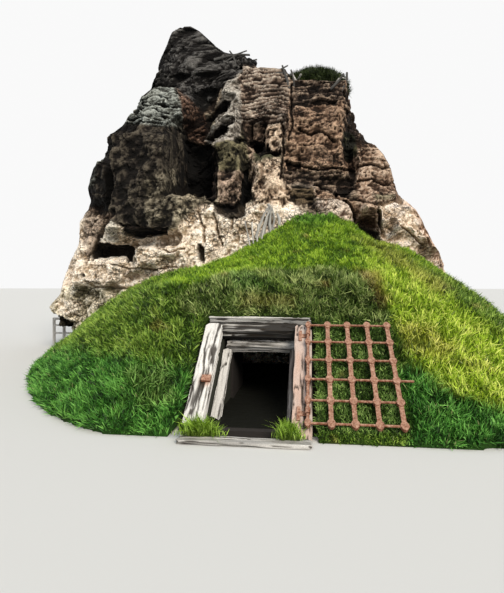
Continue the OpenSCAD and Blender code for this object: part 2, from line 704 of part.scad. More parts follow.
module gate_latch_bar() {
    x0 = hinge_x + gate_pitch_x * (gate_cols - 1) + eye_w / 2 + 3.3;
    color("#b07a62") on_slope() translate([x0, row_s(latch_row), gate_lift]) rotate([0, 90, 0])
        cylinder(h = latch_reach - eye_w / 2, d = crossbar_d, $fn = 24);
}
// Straps with rings that hold the hinge upright to the right post
strap_w = 42;
strap_l = 180;
strap_x = post_face_r + 55;
module hinge_irons() {
    color("#7d4534") on_slope() for (k = [0:1]) translate([0, hinge_s(k), 0]) {
        translate([strap_x, -strap_l / 2, 0]) cube([strap_w, strap_l, iron_t]);
        difference() {
            union() {
                translate([hinge_x, -eye_band / 2, gate_lift]) rotate([-90, 0, 0])
                    cylinder(h = eye_band, r = upright_d / 2 + fit + iron_t, $fn = 32);
                translate([strap_x + strap_w - 1, -eye_band / 2, 0])
                    cube([hinge_x + iron_t - strap_x - strap_w, eye_band, iron_t]);
                translate([hinge_x - iron_t, -eye_band / 2, iron_t - 1])
                    cube([2 * iron_t, eye_band, gate_lift - upright_d / 2 - iron_t]);
            }
            translate([hinge_x, -eye_band, gate_lift]) rotate([-90, 0, 0])
                cylinder(h = 2 * eye_band, r = upright_d / 2 + fit, $fn = 32);
        }
    }
}
// Iron keeper on the left post that the latch bar lies on when the gate is shut
module latch_plate() {
    thick = gate_lift - crossbar_d / 2 - 6;
    color("#7d4534") on_slope() translate([post_face_l - 120, row_s(latch_row) - 45, 0])
        cube([115, 90, thick]);
}

// Exposed studs and rails at the crag's left foot, under the overhang
stud = 70;
module foot_framing() {
    x0 = foot_x - 680;
    front = crag_y - 200;
    h = 690;
    bay = 300;
    color("#b9b2a4") {
        for (i = [0:2]) translate([x0 + bay * i, front, 0]) cube([stud, stud, i < 2 ? h + stud : 560]);
        for (z = [300, 520]) translate([x0, front, z]) cube([foot_x - x0, stud, 50]);
        translate([x0, front, h]) cube([bay + stud, stud, stud]);
    }
}
// Weathered poles that lean towards the rock, their feet cut to the turf
pole_turf = [[-243.75, 4], [112.5, 4], [112.5, 5]];
module leaning_poles() {
    // Three corners of the turf facet that the poles stand on
    corner = [for (p = pole_turf)
        let (y = chamber_y + (rock_line_y(p[0]) - chamber_y) * p[1] / 5) [p[0], y, strip_top(p[0], y)]];
    n = cross(corner[1] - corner[0], corner[2] - corner[0]);
    color("#a89f90") difference() {
        for (i = [0:3]) translate([-150 + 44 * i, corner[0][1] + 95 + 12 * i, corner[0][2] - 100])
            rotate([-5, -12 + 8 * i, 0]) cylinder(h = 720 - 40 * i, d = 36);
        translate(corner[1]) rotate([0, acos(n[2] / norm(n)), atan2(n[1], n[0])])
            translate([-1500, -1500, seat - 1000]) cube([3000, 3000, 1000]);
    }
}

left_post();
right_post();
lintel();
cap_board();
left_inner_post();
right_inner_post();
inner_log();
threshold_board();
inner_sill();
passage_linings();
passage_roof();
latch_plate();
hinge_irons();
gate_uprights();
gate_crossbars();
gate_latch_bar();
chamber_rafters();
chamber_roof_boards();
doorway_cheeks();
front_left_bank();
chamber_left_bank();
front_right_bank();
brow_turf();
roof_turf();
left_flank();
right_flank();
foot_rock();
pale_band_rock();
overhang_rock();
facet_rock();
tower_rock();
tower_top_rock();
centre_base_rock();
centre_rock();
strata_rock();
right_base_rock();
right_boulder();
right_shoulder_rock();
crown_rock();
back_left_rock();
back_right_rock();
crown_turf();
crown_poles();
foot_framing();
leaning_poles();
earth_floor();
ledge_rock();
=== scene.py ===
"""Looks of a turf house under a rock crag: broken rock, living turf, silvered timber, rusted iron."""
import json
import math

import bpy
import numpy as np
from bpy.props import FloatProperty, FloatVectorProperty, IntProperty, PointerProperty
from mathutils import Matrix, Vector
from mathutils.bvhtree import BVHTree


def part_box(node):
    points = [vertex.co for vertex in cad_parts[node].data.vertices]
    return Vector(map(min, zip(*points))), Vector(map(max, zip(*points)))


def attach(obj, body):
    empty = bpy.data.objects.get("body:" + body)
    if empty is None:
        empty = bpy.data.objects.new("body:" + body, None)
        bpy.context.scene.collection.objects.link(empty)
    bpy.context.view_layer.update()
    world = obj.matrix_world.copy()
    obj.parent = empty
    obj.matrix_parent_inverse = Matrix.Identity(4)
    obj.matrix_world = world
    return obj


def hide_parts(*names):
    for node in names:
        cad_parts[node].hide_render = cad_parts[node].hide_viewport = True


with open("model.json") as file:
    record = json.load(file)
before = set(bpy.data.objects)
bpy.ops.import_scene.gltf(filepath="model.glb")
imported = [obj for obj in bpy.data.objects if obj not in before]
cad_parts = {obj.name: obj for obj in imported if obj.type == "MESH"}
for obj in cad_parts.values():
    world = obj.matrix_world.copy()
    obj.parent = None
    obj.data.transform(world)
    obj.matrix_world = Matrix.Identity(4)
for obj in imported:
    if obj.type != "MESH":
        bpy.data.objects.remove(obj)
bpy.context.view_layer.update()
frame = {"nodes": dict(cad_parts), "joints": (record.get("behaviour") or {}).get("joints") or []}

bl_info = {
    "name": "Turf house under a crag",
    "version": (1, 0, 0),
    "blender": (4, 5, 0),
    "location": "View3D > Sidebar > Turf house",
    "description": "Builds the finish of a turf house and of the rock crag behind it",
    "category": "Object",
}

# Photograph's frame, which the camera's settings are worked out from
PHOTO_W = 504
PHOTO_H = 593

# The hinge gives the slope that the doorway and the gate lie on
HINGE = next(j for j in frame["joints"] if j["name"] == "gate_hinge")
HINGE_FOOT = np.array(HINGE["pos_m"], float)
SLOPE_UP = -np.array(HINGE["axis"], float)
SLOPE_OUT = np.array((0.0, -SLOPE_UP[2], SLOPE_UP[1]))

# The nodes that each part of the crag stands for, and those that the turf does
LEFT_ROCKS = ("foot_rock", "pale_band_rock", "ledge_rock", "overhang_rock", "facet_rock", "tower_rock",
              "tower_top_rock")
CENTRE_ROCKS = ("centre_base_rock", "centre_rock", "strata_rock")
RIGHT_ROCKS = ("right_base_rock", "right_boulder", "right_shoulder_rock", "crown_rock")
BACK_ROCKS = ("back_left_rock", "back_right_rock")
CRAG_NODES = LEFT_ROCKS + CENTRE_ROCKS + RIGHT_ROCKS + BACK_ROCKS
TURF_NODES = (
    "front_left_bank", "chamber_left_bank", "front_right_bank", "brow_turf", "roof_turf",
    "left_flank", "right_flank")


def linear(code):
    """Linear colour of an sRGB hex value such as #8f7a66."""
    parts = [int(code[i:i + 2], 16) / 255 for i in (1, 3, 5)]
    return tuple(p / 12.92 if p <= 0.04045 else ((p + 0.055) / 1.055) ** 2.4 for p in parts)


def length_prop(name, description, default):
    return FloatProperty(name=name, description=description, default=default, unit="LENGTH", precision=4)


def colour_prop(name, description, code):
    return FloatVectorProperty(
        name=name, description=description, default=linear(code), subtype="COLOR", size=3, min=0, max=1)


class CragSettings(bpy.types.PropertyGroup):
    """Sizes of the broken rock."""
    voxel: length_prop("Detail", "Spacing of the points on the rock's faces", 0.032)
    block_relief: length_prop("Block relief", "How far the broken blocks stand in and out", 0.10)
    stone_relief: length_prop("Stone relief", "How far the stones in a block stand in and out", 0.035)
    crease_relief: length_prop("Crease relief", "How far the flat broken faces slope in and out", 0.11)
    pit_depth: length_prop("Pit depth", "Depth of the holes where stones fell out", 0.05)
    bed_relief: length_prop("Bed relief", "How far the thin beds stand in and out", 0.05)
    rib_relief: length_prop("Rib relief", "How far the upright ribs of the overhang stand out", 0.06)
    joint_depth: length_prop("Joint depth", "Depth of the long joints in the rock", 0.10)


class TurfSettings(bpy.types.PropertyGroup):
    """Sizes and colours of the turf."""
    voxel: length_prop("Detail", "Spacing of the points on the turf's surface", 0.075)
    lump: length_prop("Lumps", "Height of the turf's lumps", 0.05)
    sunk: length_prop("Sunk", "How far the soil lies below the tips of the grass", 0.03)
    blade_length: length_prop("Blade length", "Usual length of a blade of grass", 0.125)
    blade_width: length_prop("Blade width", "Width of a blade of grass at its widest", 0.015)
    under_gate: length_prop("Under the gate", "Longest blade under the open gate", 0.075)
    blades: IntProperty(name="Blades", description="Number of blades in each sown part", default=51000)
    soil: colour_prop("Soil", "Soil and roots under the blades", "#1b1f0d")
    herb: colour_prop("Herbs", "Pale leaves of small herbs among the grass", "#9aa86a")


class TimberSettings(bpy.types.PropertyGroup):
    """Sizes and colours of the old timber."""
    voxel: length_prop("Detail", "Spacing of the points on the timbers", 0.0095)
    groove: length_prop("Grooves", "Depth of the weathered grain", 0.009)
    split: length_prop("Splits", "Depth of the drying splits", 0.03)
    ragged: length_prop("Ragged ends", "How far the rotten ends fall back", 0.06)
    silver: colour_prop("Silvered timber", "Sun bleached grey timber", "#e6e3dd")
    shade: colour_prop("Timber shade", "Dark of the grain and the splits", "#2e271f")
    stain: colour_prop("Rust stain", "Timber stained by the iron", "#b0836a")
    # The boards' colour is near black: damp wood, and painted shade of the unlit passage
    damp: colour_prop("Damp boards", "Dark damp boards inside the passage", "#15100d")


class IronSettings(bpy.types.PropertyGroup):
    """Colours of the rusted iron."""
    rust: colour_prop("Rust", "Red brown rust", "#85523b")
    # Paler rust: wear by rain and hands, and a painted highlight on the upper faces
    wear_and_highlight: colour_prop("Worn rust", "Paler rust where rain and hands wear the upper faces", "#cba892")
    scale: colour_prop("Scale", "Dark scale in the pits and underneath", "#331a10")


class StageSettings(bpy.types.PropertyGroup):
    """Camera and floor."""
    eye: FloatVectorProperty(
        name="Eye", description="Place of the camera", default=(1.035, -10.079, 1.67), subtype="XYZ",
        unit="LENGTH", size=3)
    heading: FloatProperty(
        name="Heading", description="Turn of the camera to the left of straight ahead",
        default=math.radians(7.2), subtype="ANGLE")
    focal: FloatProperty(
        name="Focal length", description="Focal length in pixels of the photograph", default=460)
    horizon: FloatProperty(
        name="Horizon", description="Row of the photograph's horizon in pixels", default=285)
    floor: colour_prop("Floor", "Plain pale floor", "#d9d9d6")


# Small helpers for objects

def deselect():
    bpy.ops.object.select_all(action="DESELECT")


def activate(piece):
    deselect()
    piece.select_set(True)
    bpy.context.view_layer.objects.active = piece


def new_piece(name, mesh):
    piece = bpy.data.objects.new(name, mesh)
    bpy.context.scene.collection.objects.link(piece)
    return piece


def joined(name, parts):
    """Several objects made one."""
    deselect()
    for part in parts:
        part.select_set(True)
    piece = parts[0]
    bpy.context.view_layer.objects.active = piece
    if len(parts) > 1:
        bpy.ops.object.join()
    piece.name = name
    piece.data.name = name
    return piece


def joined_copy(name, nodes):
    """A copy of CAD nodes as one object, with the loose corners of its triangles merged."""
    piece = joined(name, [new_piece(name, frame["nodes"][node].data.copy()) for node in nodes])
    bpy.ops.object.mode_set(mode="EDIT")
    bpy.ops.mesh.select_all(action="SELECT")
    bpy.ops.mesh.remove_doubles(threshold=0.0001)
    bpy.ops.object.mode_set(mode="OBJECT")
    piece.data.materials.clear()
    return piece


def apply_modifier(piece, kind, **settings):
    activate(piece)
    modifier = piece.modifiers.new(kind.title(), kind)
    for key, value in settings.items():
        setattr(modifier, key, value)
    bpy.ops.object.modifier_apply(modifier=modifier.name)


def remesh(piece, size):
    apply_modifier(piece, "REMESH", mode="VOXEL", voxel_size=size, use_smooth_shade=False)


def points_of(piece, what="co"):
    values = np.empty(len(piece.data.vertices) * 3)
    piece.data.vertices.foreach_get(what, values)
    return values.reshape(-1, 3)


def normals_of(piece):
    return points_of(piece, "normal")


def set_points(piece, points):
    piece.data.vertices.foreach_set("co", points.astype(np.float32).ravel())
    piece.data.update()


def set_tint(piece, tint):
    """Keeps one colour a point, which the piece's material reads."""
    layer = piece.data.color_attributes.new("tint", "FLOAT_COLOR", "POINT")
    rgba = np.ones((len(tint), 4), np.float32)
    rgba[:, :3] = np.clip(tint, 0, 1)
    layer.data.foreach_set("color", rgba.ravel())


def cut_off(piece, place, direction):
    """Cuts away what lies on the far side of a plane, and closes the cut."""
    activate(piece)
    bpy.ops.object.mode_set(mode="EDIT")
    bpy.ops.mesh.select_all(action="SELECT")
    bpy.ops.mesh.bisect(
        plane_co=place, plane_no=direction, use_fill=True, clear_outer=True, clear_inner=False)
    bpy.ops.object.mode_set(mode="OBJECT")


def finish_piece(piece, material, nodes=(), body="house"):
    """Gives a piece its material and slot, hides the nodes that it stands for, and sets the body it rides
    on.
    """
    piece.data.materials.clear()
    piece.data.materials.append(material)
    if nodes:
        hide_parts(*nodes)
    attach(piece, body)


# Patterns in space, worked out for many points at once. Each one's last number is its seed.

def scramble(cell, seed):
    """An even random number from 0 to 1 for each whole-numbered cell."""
    low_half = np.uint64(0xFFFFFFFF)
    c = cell.astype(np.int64).astype(np.uint64) & low_half
    h = c[..., 0] * np.uint64(0x9E3779B1) ^ c[..., 1] * np.uint64(0x85EBCA77)
    h = (h ^ c[..., 2] * np.uint64(0xC2B2AE3D) ^ np.uint64(seed * 0x27D4EB2F)) & low_half
    for shift, factor in ((15, 0x2C1B3C6D), (12, 0x297A2D39)):
        h = ((h ^ (h >> np.uint64(shift))) * np.uint64(factor)) & low_half
    h = h ^ (h >> np.uint64(15))
    return h.astype(float) / 2 ** 32


def smooth(points, size, seed):
    """Soft noise from -1 to 1. Size is the width of one swell, the same or one for each axis."""
    q = points / size
    base = np.floor(q)
    f = q - base
    f = f * f * (3 - 2 * f)
    total = np.zeros(len(points))
    for dx in (0, 1):
        for dy in (0, 1):
            for dz in (0, 1):
                weight = ((f[:, 0] if dx else 1 - f[:, 0]) * (f[:, 1] if dy else 1 - f[:, 1])
                          * (f[:, 2] if dz else 1 - f[:, 2]))
                total += weight * scramble(base + (dx, dy, dz), seed)
    return 2 * total - 1


def layered(points, size, seed):
    """Soft noise with two more on it, each half as wide and half as strong as the one before."""
    total = sum(smooth(points, np.asarray(size) / 2 ** i, seed + 17 * i) / 2 ** i for i in range(3))
    return total / 1.75


def broken(points, size, seed):
    """Broken stones: each stone's random value, its tilted face, and the distance to its middle."""
    q = points / size
    base = np.floor(q)
    near = np.full(len(points), 9.0)
    value = np.zeros(len(points))
    face = np.zeros(len(points))
    for dx in (-1, 0, 1):
        for dy in (-1, 0, 1):
            for dz in (-1, 0, 1):
                cell = base + (dx, dy, dz)
                spot = np.stack([scramble(cell, seed + k) for k in range(3)], 1)
                away = q - (cell + 0.1 + 0.8 * spot)
                gap = np.sqrt((away ** 2).sum(1))
                closer = gap < near
                value = np.where(closer, scramble(cell, seed + 5), value)
                face = np.where(closer, (away * (2 * spot[:, ::-1] - 1)).sum(1), face)
                near = np.where(closer, gap, near)
    return value, face, near


def creases(points, size, seed):
    """Flat faces that meet in sharp creases, from -1 to 1: bent saw waves in several directions."""
    total = np.zeros(len(points))
    rng = np.random.default_rng(seed)
    for k in range(5):
        way = rng.normal(size=3)
        way /= np.linalg.norm(way) * size * rng.uniform(0.7, 1.4)
        t = points @ way + 0.8 * smooth(points, 2.6 * size, seed + k)
        saw = 4 * np.abs(t - np.floor(t) - 0.5) - 1
        total += saw * (0.5 + 0.5 * smooth(points, 1.7 * size, seed + 9 + k))
    return total / 1.8


def step(low, high, x):
    """A soft step from 0 at one value to 1 at another, which may be the lower one."""
    t = np.clip((x - low) / (high - low), 0, 1)
    return t * t * (3 - 2 * t)


def paint(tint, colour, amount):
    """Lays a colour over the tint by an amount for each point."""
    return tint + (np.asarray(colour) - tint) * np.asarray(amount)[:, None]


# Mixes of kinds of rock or of grass: the share of each kind at each point

def shares_of(kinds, count):
    """A mix with nothing of any kind in it yet."""
    return {kind: np.zeros(count) for kind in kinds}


def lay_over(shares, kind, cover):
    """Lays one kind over what is there, by a cover from 0 to 1 at each point."""
    for other in shares:
        shares[other] *= 1 - cover
    shares[kind] += cover


def mixed(shares, kinds, column):
    """One number of the kinds, mixed by how much of each there is."""
    return sum(share * kinds[kind][column] for kind, share in shares.items())


def mixed_tint(shares, kinds, tone):
    """The kinds' colours, each from dark over middle to light by a tone from 0 to 1."""
    tone = np.clip(tone, 0, 1)[:, None]
    tint = np.zeros((len(tone), 3))
    for kind, share in shares.items():
        dark, middle, light = (np.array(linear(code)) for code in kinds[kind][:3])
        below = dark + (middle - dark) * np.clip(tone * 2, 0, 1)
        tint += share[:, None] * (below + (light - middle) * np.clip(tone * 2 - 1, 0, 1))
    return tint


# Materials

def new_material(name):
    material = bpy.data.materials.new(name)
    material.use_nodes = True
    return material, material.node_tree.nodes["Principled BSDF"]


def add(owner, kind, inputs=None, **settings):
    """Adds a node to a material or the world with its settings, and sets or links its inputs."""
    tree = owner.node_tree
    node = tree.nodes.new(kind)
    for key, value in settings.items():
        setattr(node, key, value)
    for socket, value in (inputs or {}).items():
        if isinstance(value, bpy.types.NodeSocket):
            tree.links.new(value, node.inputs[socket])
        else:
            node.inputs[socket].default_value = value
    return node


def finish_shader(material, shader, colour, rough, height, depth, reach):
    """Colour, roughness and bump of a plain rough finish."""
    bump = add(material, "ShaderNodeBump", {"Strength": depth, "Distance": reach, "Height": height})
    material.node_tree.links.new(colour, shader.inputs["Base Color"])
    material.node_tree.links.new(bump.outputs["Normal"], shader.inputs["Normal"])
    shader.inputs["Roughness"].default_value = rough


def tinted(material, low, high, noise_size, detail=6.0):
    """The piece's own tint, made darker and lighter by noise between two factors."""
    place = add(material, "ShaderNodeTexCoord").outputs["Object"]
    noise = add(material, "ShaderNodeTexNoise", {
        "Vector": place, "Scale": 1 / noise_size, "Detail": detail, "Roughness": 0.7})
    factor = add(material, "ShaderNodeMapRange", {
        "Value": noise.outputs["Fac"], "From Min": 0.3, "From Max": 0.7, "To Min": low, "To Max": high})
    tint = add(material, "ShaderNodeAttribute", attribute_name="tint")
    shade = add(material, "ShaderNodeVectorMath", {
        0: tint.outputs["Color"], "Scale": factor.outputs["Result"]}, operation="SCALE")
    return shade.outputs["Vector"], noise.outputs["Fac"], place


def tuff_material():
    """Volcanic tuff, broken and weathered: matt and gritty, with pits painted dark as shade, dark cracks and
    flakes.
    """
    material, shader = new_material("weathered_tuff")
    # Mottling about 50 mm across, with grit down to a few millimetres
    colour, noise, place = tinted(material, 0.6, 1.45, 0.045)
    # Pits about 45 mm apart where stones fell out, painted darker as shade in the pits
    pits = add(material, "ShaderNodeTexVoronoi", {"Vector": place, "Scale": 1 / 0.045})
    pit_mask = add(material, "ShaderNodeMapRange", {
        "Value": pits.outputs["Distance"], "From Min": 0.12, "From Max": 0.42,
        "To Min": 0.42, "To Max": 1.08})
    # Cracks about 110 mm apart, bent by noise, that come and go over half a metre
    bend = add(material, "ShaderNodeTexNoise", {"Vector": place, "Scale": 1 / 0.12, "Detail": 3.0})
    bent = add(material, "ShaderNodeVectorMath", {
        0: bend.outputs["Color"], 1: (0.09, 0.09, 0.06), 2: place}, operation="MULTIPLY_ADD")
    flat = add(material, "ShaderNodeVectorMath", {
        0: bent.outputs["Vector"], 1: (1.0, 1.0, 1.5)}, operation="MULTIPLY")
    edge = add(material, "ShaderNodeTexVoronoi", {
        "Vector": flat.outputs["Vector"], "Scale": 1 / 0.11}, feature="DISTANCE_TO_EDGE")
    crack = add(material, "ShaderNodeMapRange", {
        "Value": edge.outputs["Distance"], "From Min": 0.02, "From Max": 0.10, "To Min": 0.9, "To Max": 0.0})
    region = add(material, "ShaderNodeTexNoise", {"Vector": place, "Scale": 1 / 0.5, "Detail": 2.0})
    show = add(material, "ShaderNodeMapRange", {
        "Value": region.outputs["Fac"], "From Min": 0.42, "From Max": 0.58})
    cracked = add(material, "ShaderNodeMath", {
        0: crack.outputs["Result"], 1: show.outputs["Result"]}, operation="MULTIPLY")
    # Flakes about 60 mm across, each its own shade
    flake = add(material, "ShaderNodeTexVoronoi", {"Vector": flat.outputs["Vector"], "Scale": 1 / 0.06})
    shade = add(material, "ShaderNodeMapRange", {
        "Value": flake.outputs["Color"], "To Min": 0.76, "To Max": 1.26})
    uncracked = add(material, "ShaderNodeMath", {
        0: 1.0, 1: cracked.outputs["Value"]}, operation="SUBTRACT")
    flaked = add(material, "ShaderNodeMath", {
        0: uncracked.outputs["Value"], 1: shade.outputs["Result"]}, operation="MULTIPLY")
    whole = add(material, "ShaderNodeMath", {
        0: flaked.outputs["Value"], 1: pit_mask.outputs["Result"]}, operation="MULTIPLY")
    dark = add(material, "ShaderNodeVectorMath", {
        0: colour, "Scale": whole.outputs["Value"]}, operation="SCALE")
    height = add(material, "ShaderNodeMath", {
        0: noise, 1: whole.outputs["Value"]}, operation="MULTIPLY")
    shader.inputs["Specular IOR Level"].default_value = 0.25
    finish_shader(material, shader, dark.outputs["Vector"], 0.95, height.outputs["Value"], 0.9, 0.02)
    return material


def soil_material():
    """Soil matted with roots and moss: matt and dark, seen only between the blades."""
    material, shader = new_material("rooted_soil")
    # Crumbs about 40 mm across
    colour, noise, _ = tinted(material, 0.5, 1.6, 0.04)
    shader.inputs["Specular IOR Level"].default_value = 0.2
    finish_shader(material, shader, colour, 1.0, noise, 0.8, 0.015)
    return material


def grass_material():
    """Living grass: waxy blades with a soft sheen, colour from each blade's own tint."""
    material, shader = new_material("living_grass")
    # A leaf's own unevenness, drawn as coarse as 20 mm to show
    colour, noise, _ = tinted(material, 0.8, 1.2, 0.02, 3.0)
    shader.inputs["Specular IOR Level"].default_value = 0.3
    finish_shader(material, shader, colour, 0.55, noise, 0.1, 0.002)
    return material


def timber_material():
    """Old unpainted timber: silvered matt fibres, darker in the grain, colour from its own tint."""
    material, shader = new_material("silvered_timber")
    # Bundles of fibres about 12 mm across
    colour, noise, _ = tinted(material, 0.7, 1.25, 0.012)
    shader.inputs["Specular IOR Level"].default_value = 0.3
    finish_shader(material, shader, colour, 0.85, noise, 0.5, 0.003)
    return material


def board_material(settings):
    """Riven boards in the dark of the passage, coloured near black: damp wood, and painted shade of the
    unlit passage. Brown, matt, grained along their length.
    """
    material, shader = new_material("damp_boards")
    place = add(material, "ShaderNodeTexCoord").outputs["Object"]
    # Grain about 17 mm wide that runs on for 110 mm
    grain = add(material, "ShaderNodeMapping", {"Vector": place, "Scale": (9.0, 9.0, 60.0)})
    noise = add(material, "ShaderNodeTexNoise", {
        "Vector": grain.outputs["Vector"], "Scale": 1.0, "Detail": 6.0})
    ramp = add(material, "ShaderNodeValToRGB", {"Fac": noise.outputs["Fac"]})
    # A near-black ramp: damp wood with the passage's painted shade in it
    ramp.color_ramp.elements[0].color = (*(0.4 * c for c in settings.damp), 1)
    ramp.color_ramp.elements[1].color = (*(2.4 * c for c in settings.damp), 1)
    finish_shader(material, shader, ramp.outputs["Color"], 0.8, noise.outputs["Fac"], 0.4, 0.004)
    return material


def earth_material(settings):
    """Packed earth beside the timbers: dark brown, crumbly and matt."""
    material, shader = new_material("packed_earth")
    place = add(material, "ShaderNodeTexCoord").outputs["Object"]
    # Clods about 50 mm across
    noise = add(material, "ShaderNodeTexNoise", {"Vector": place, "Scale": 1 / 0.05, "Detail": 8.0})
    ramp = add(material, "ShaderNodeValToRGB", {"Fac": noise.outputs["Fac"]})
    ramp.color_ramp.elements[0].color = (*(0.35 * c for c in settings.soil), 1)
    ramp.color_ramp.elements[1].color = (*(1.6 * c for c in settings.soil), 1)
    finish_shader(material, shader, ramp.outputs["Color"], 1.0, noise.outputs["Fac"], 0.8, 0.02)
    return material


def iron_material(settings):
    """Forged iron under thick old rust: matt, pitted, paler on its upper faces from wear and a painted
    highlight.
    """
    material, shader = new_material("rusted_forged_iron")
    place = add(material, "ShaderNodeTexCoord").outputs["Object"]
    # Patches of rust about 35 mm across
    patch = add(material, "ShaderNodeTexNoise", {
        "Vector": place, "Scale": 1 / 0.035, "Detail": 8.0, "Roughness": 0.7})
    ramp = add(material, "ShaderNodeValToRGB", {"Fac": patch.outputs["Fac"]})
    ramp.color_ramp.elements[0].position = 0.3
    ramp.color_ramp.elements[1].position = 0.72
    ramp.color_ramp.elements[0].color = (*settings.scale, 1)
    ramp.color_ramp.elements[1].color = (*settings.wear_and_highlight, 1)
    middle = ramp.color_ramp.elements.new(0.5)
    middle.color = (*settings.rust, 1)
    # The upper faces that face the light are painted paler: wear, and a painted highlight
    normal = add(material, "ShaderNodeNewGeometry").outputs["Normal"]
    facing = add(material, "ShaderNodeVectorMath", {
        0: normal, 1: (-0.25, -0.3, 0.85)}, operation="DOT_PRODUCT")
    upper = add(material, "ShaderNodeMapRange", {
        "Value": facing.outputs["Value"], "From Min": 0.45, "From Max": 0.95, "To Min": 0.0, "To Max": 0.75})
    # The pale wear and highlight come and go every 25 mm or so along a bar
    wear = add(material, "ShaderNodeTexNoise", {
        "Vector": place, "Scale": 1 / 0.025, "Detail": 5.0, "Roughness": 0.75})
    share = add(material, "ShaderNodeMapRange", {
        "Value": wear.outputs["Fac"], "From Min": 0.38, "From Max": 0.62})
    amount = add(material, "ShaderNodeMath", {
        0: upper.outputs["Result"], 1: share.outputs["Result"]}, operation="MULTIPLY")
    wear_and_highlight = add(material, "ShaderNodeMix", {
        "Factor": amount.outputs["Value"], "A": ramp.outputs["Color"], "B": (*settings.wear_and_highlight, 1)},
        data_type="RGBA")
    # Iron this rusted is all oxide, so it shines no more than stone does
    shader.inputs["Specular IOR Level"].default_value = 0.3
    finish_shader(material, shader, wear_and_highlight.outputs["Result"], 0.9, patch.outputs["Fac"], 0.8, 0.004)
    return material


# The finishes made so far
MATERIALS = {}


def material_of(name):
    """A finish, which is made when the first piece asks for it."""
    if name not in MATERIALS:
        scene = bpy.context.scene
        makers = {
            "tuff": tuff_material,
            "soil": soil_material,
            "grass": grass_material,
            "timber": timber_material,
            "boards": lambda: board_material(scene.timber_settings),
            "earth": lambda: earth_material(scene.turf_settings),
            "iron": lambda: iron_material(scene.iron_settings),
        }
        MATERIALS[name] = makers[name]()
    return MATERIALS[name]


# The crag

# Dark, middle and light of each kind of rock, then how much of each of these it has: specks, upright
# ribs, beds, slanted beds, painted shade in its hollows, and blocks that stand in and out
ROCK_TRAITS = ("speck", "rib", "bed", "slant", "damp", "rough")
ROCK_KINDS = {
    "tower": ("#060504", "#120f0d", "#5c5a57", 0.9, 0.35, 0.0, 0.12, 0.5, 0.8),
    # The facet's grey-green is its own, made paler as painted light on a face that looks up to the sky
    "facet": ("#15140f", "#4e504a", "#a0a49d", 0.35, 0.0, 0.8, 0.0, 0.35, 0.45),
    "red_brown": ("#1a100b", "#4f392c", "#8a7060", 0.4, 0.0, 0.0, 0.8, 0.8, 0.8),
    # The overhang's dark is its own dark rock, made darker still as painted shade on the undercut wall
    "overhang": ("#080604", "#1d1814", "#544d42", 0.5, 0.7, 0.0, 0.0, 0.8, 0.55),
    "overhang_foot": ("#15110c", "#544d3e", "#aba18b", 0.8, 0.4, 0.0, 0.0, 0.8, 0.7),
    # Clefts are painted near black: painted shade in the deep recesses
    "cleft": ("#050403", "#14100d", "#352c26", 0.6, 0.4, 0.0, 0.0, 0.8, 1.0),
    "olive": ("#18160e", "#464130", "#777056", 0.9, 0.2, 0.0, 0.0, 0.8, 0.9),
    "pink_brown": ("#1b1310", "#5d4d40", "#b59e8b", 0.8, 0.3, 0.0, 0.0, 0.8, 0.9),
    "chevron": ("#4a433b", "#938b81", "#b8b2a8", 0.9, 0.0, 0.0, 0.2, 0.3, 0.4),
    "strata": ("#231913", "#7b685a", "#bcae9e", 0.25, 0.0, 0.95, 0.0, 0.5, 0.4),
    "brown": ("#241a13", "#7d6959", "#a8937f", 0.6, 0.5, 0.1, 0.0, 0.4, 0.7),
    "tan": ("#2e2118", "#a08973", "#e0cab2", 1.0, 0.1, 0.0, 0.0, 0.5, 0.6),
    "rust": ("#20140b", "#634c3c", "#ac9078", 1.0, 0.0, 0.25, 0.15, 0.8, 0.5),
    "bedded": ("#150f0b", "#56473c", "#978675", 0.45, 0.0, 0.8, 0.1, 0.8, 0.7),
    "niche": ("#0e0904", "#2d2418", "#6a5b47", 0.3, 0.0, 0.9, 0.0, 0.2, 0.3),
    "moss": ("#0c1008", "#2d3320", "#5d6245", 1.0, 0.0, 0.0, 0.0, 0.8, 0.9),
    "shoulder": ("#3f2e22", "#846a57", "#c0a994", 0.7, 0.0, 0.25, 0.1, 0.5, 0.6),
    "pink": ("#46342a", "#a5907e", "#dccbbb", 0.9, 0.1, 0.2, 0.0, 0.2, 0.5),
    "boulder": ("#a28c74", "#e6d2bb", "#f0e2d4", 0.7, 0.0, 0.0, 0.2, 0.2, 0.4),
    "warm_face": ("#745640", "#c3a48d", "#dfc4b1", 0.8, 0.0, 0.2, 0.0, 0.15, 0.4),
    "pale": ("#a08c74", "#ecdac4", "#fff3e2", 0.75, 0.1, 0.1, 0.0, 0.12, 0.45),
    "rubble": ("#6e654e", "#cabda2", "#f6ecd8", 0.7, 0.3, 0.0, 0.3, 0.3, 0.65),
    "white": ("#8b8478", "#c2b9aa", "#e9e2d4", 0.7, 0.0, 0.0, 0.0, 0.1, 0.45),
}
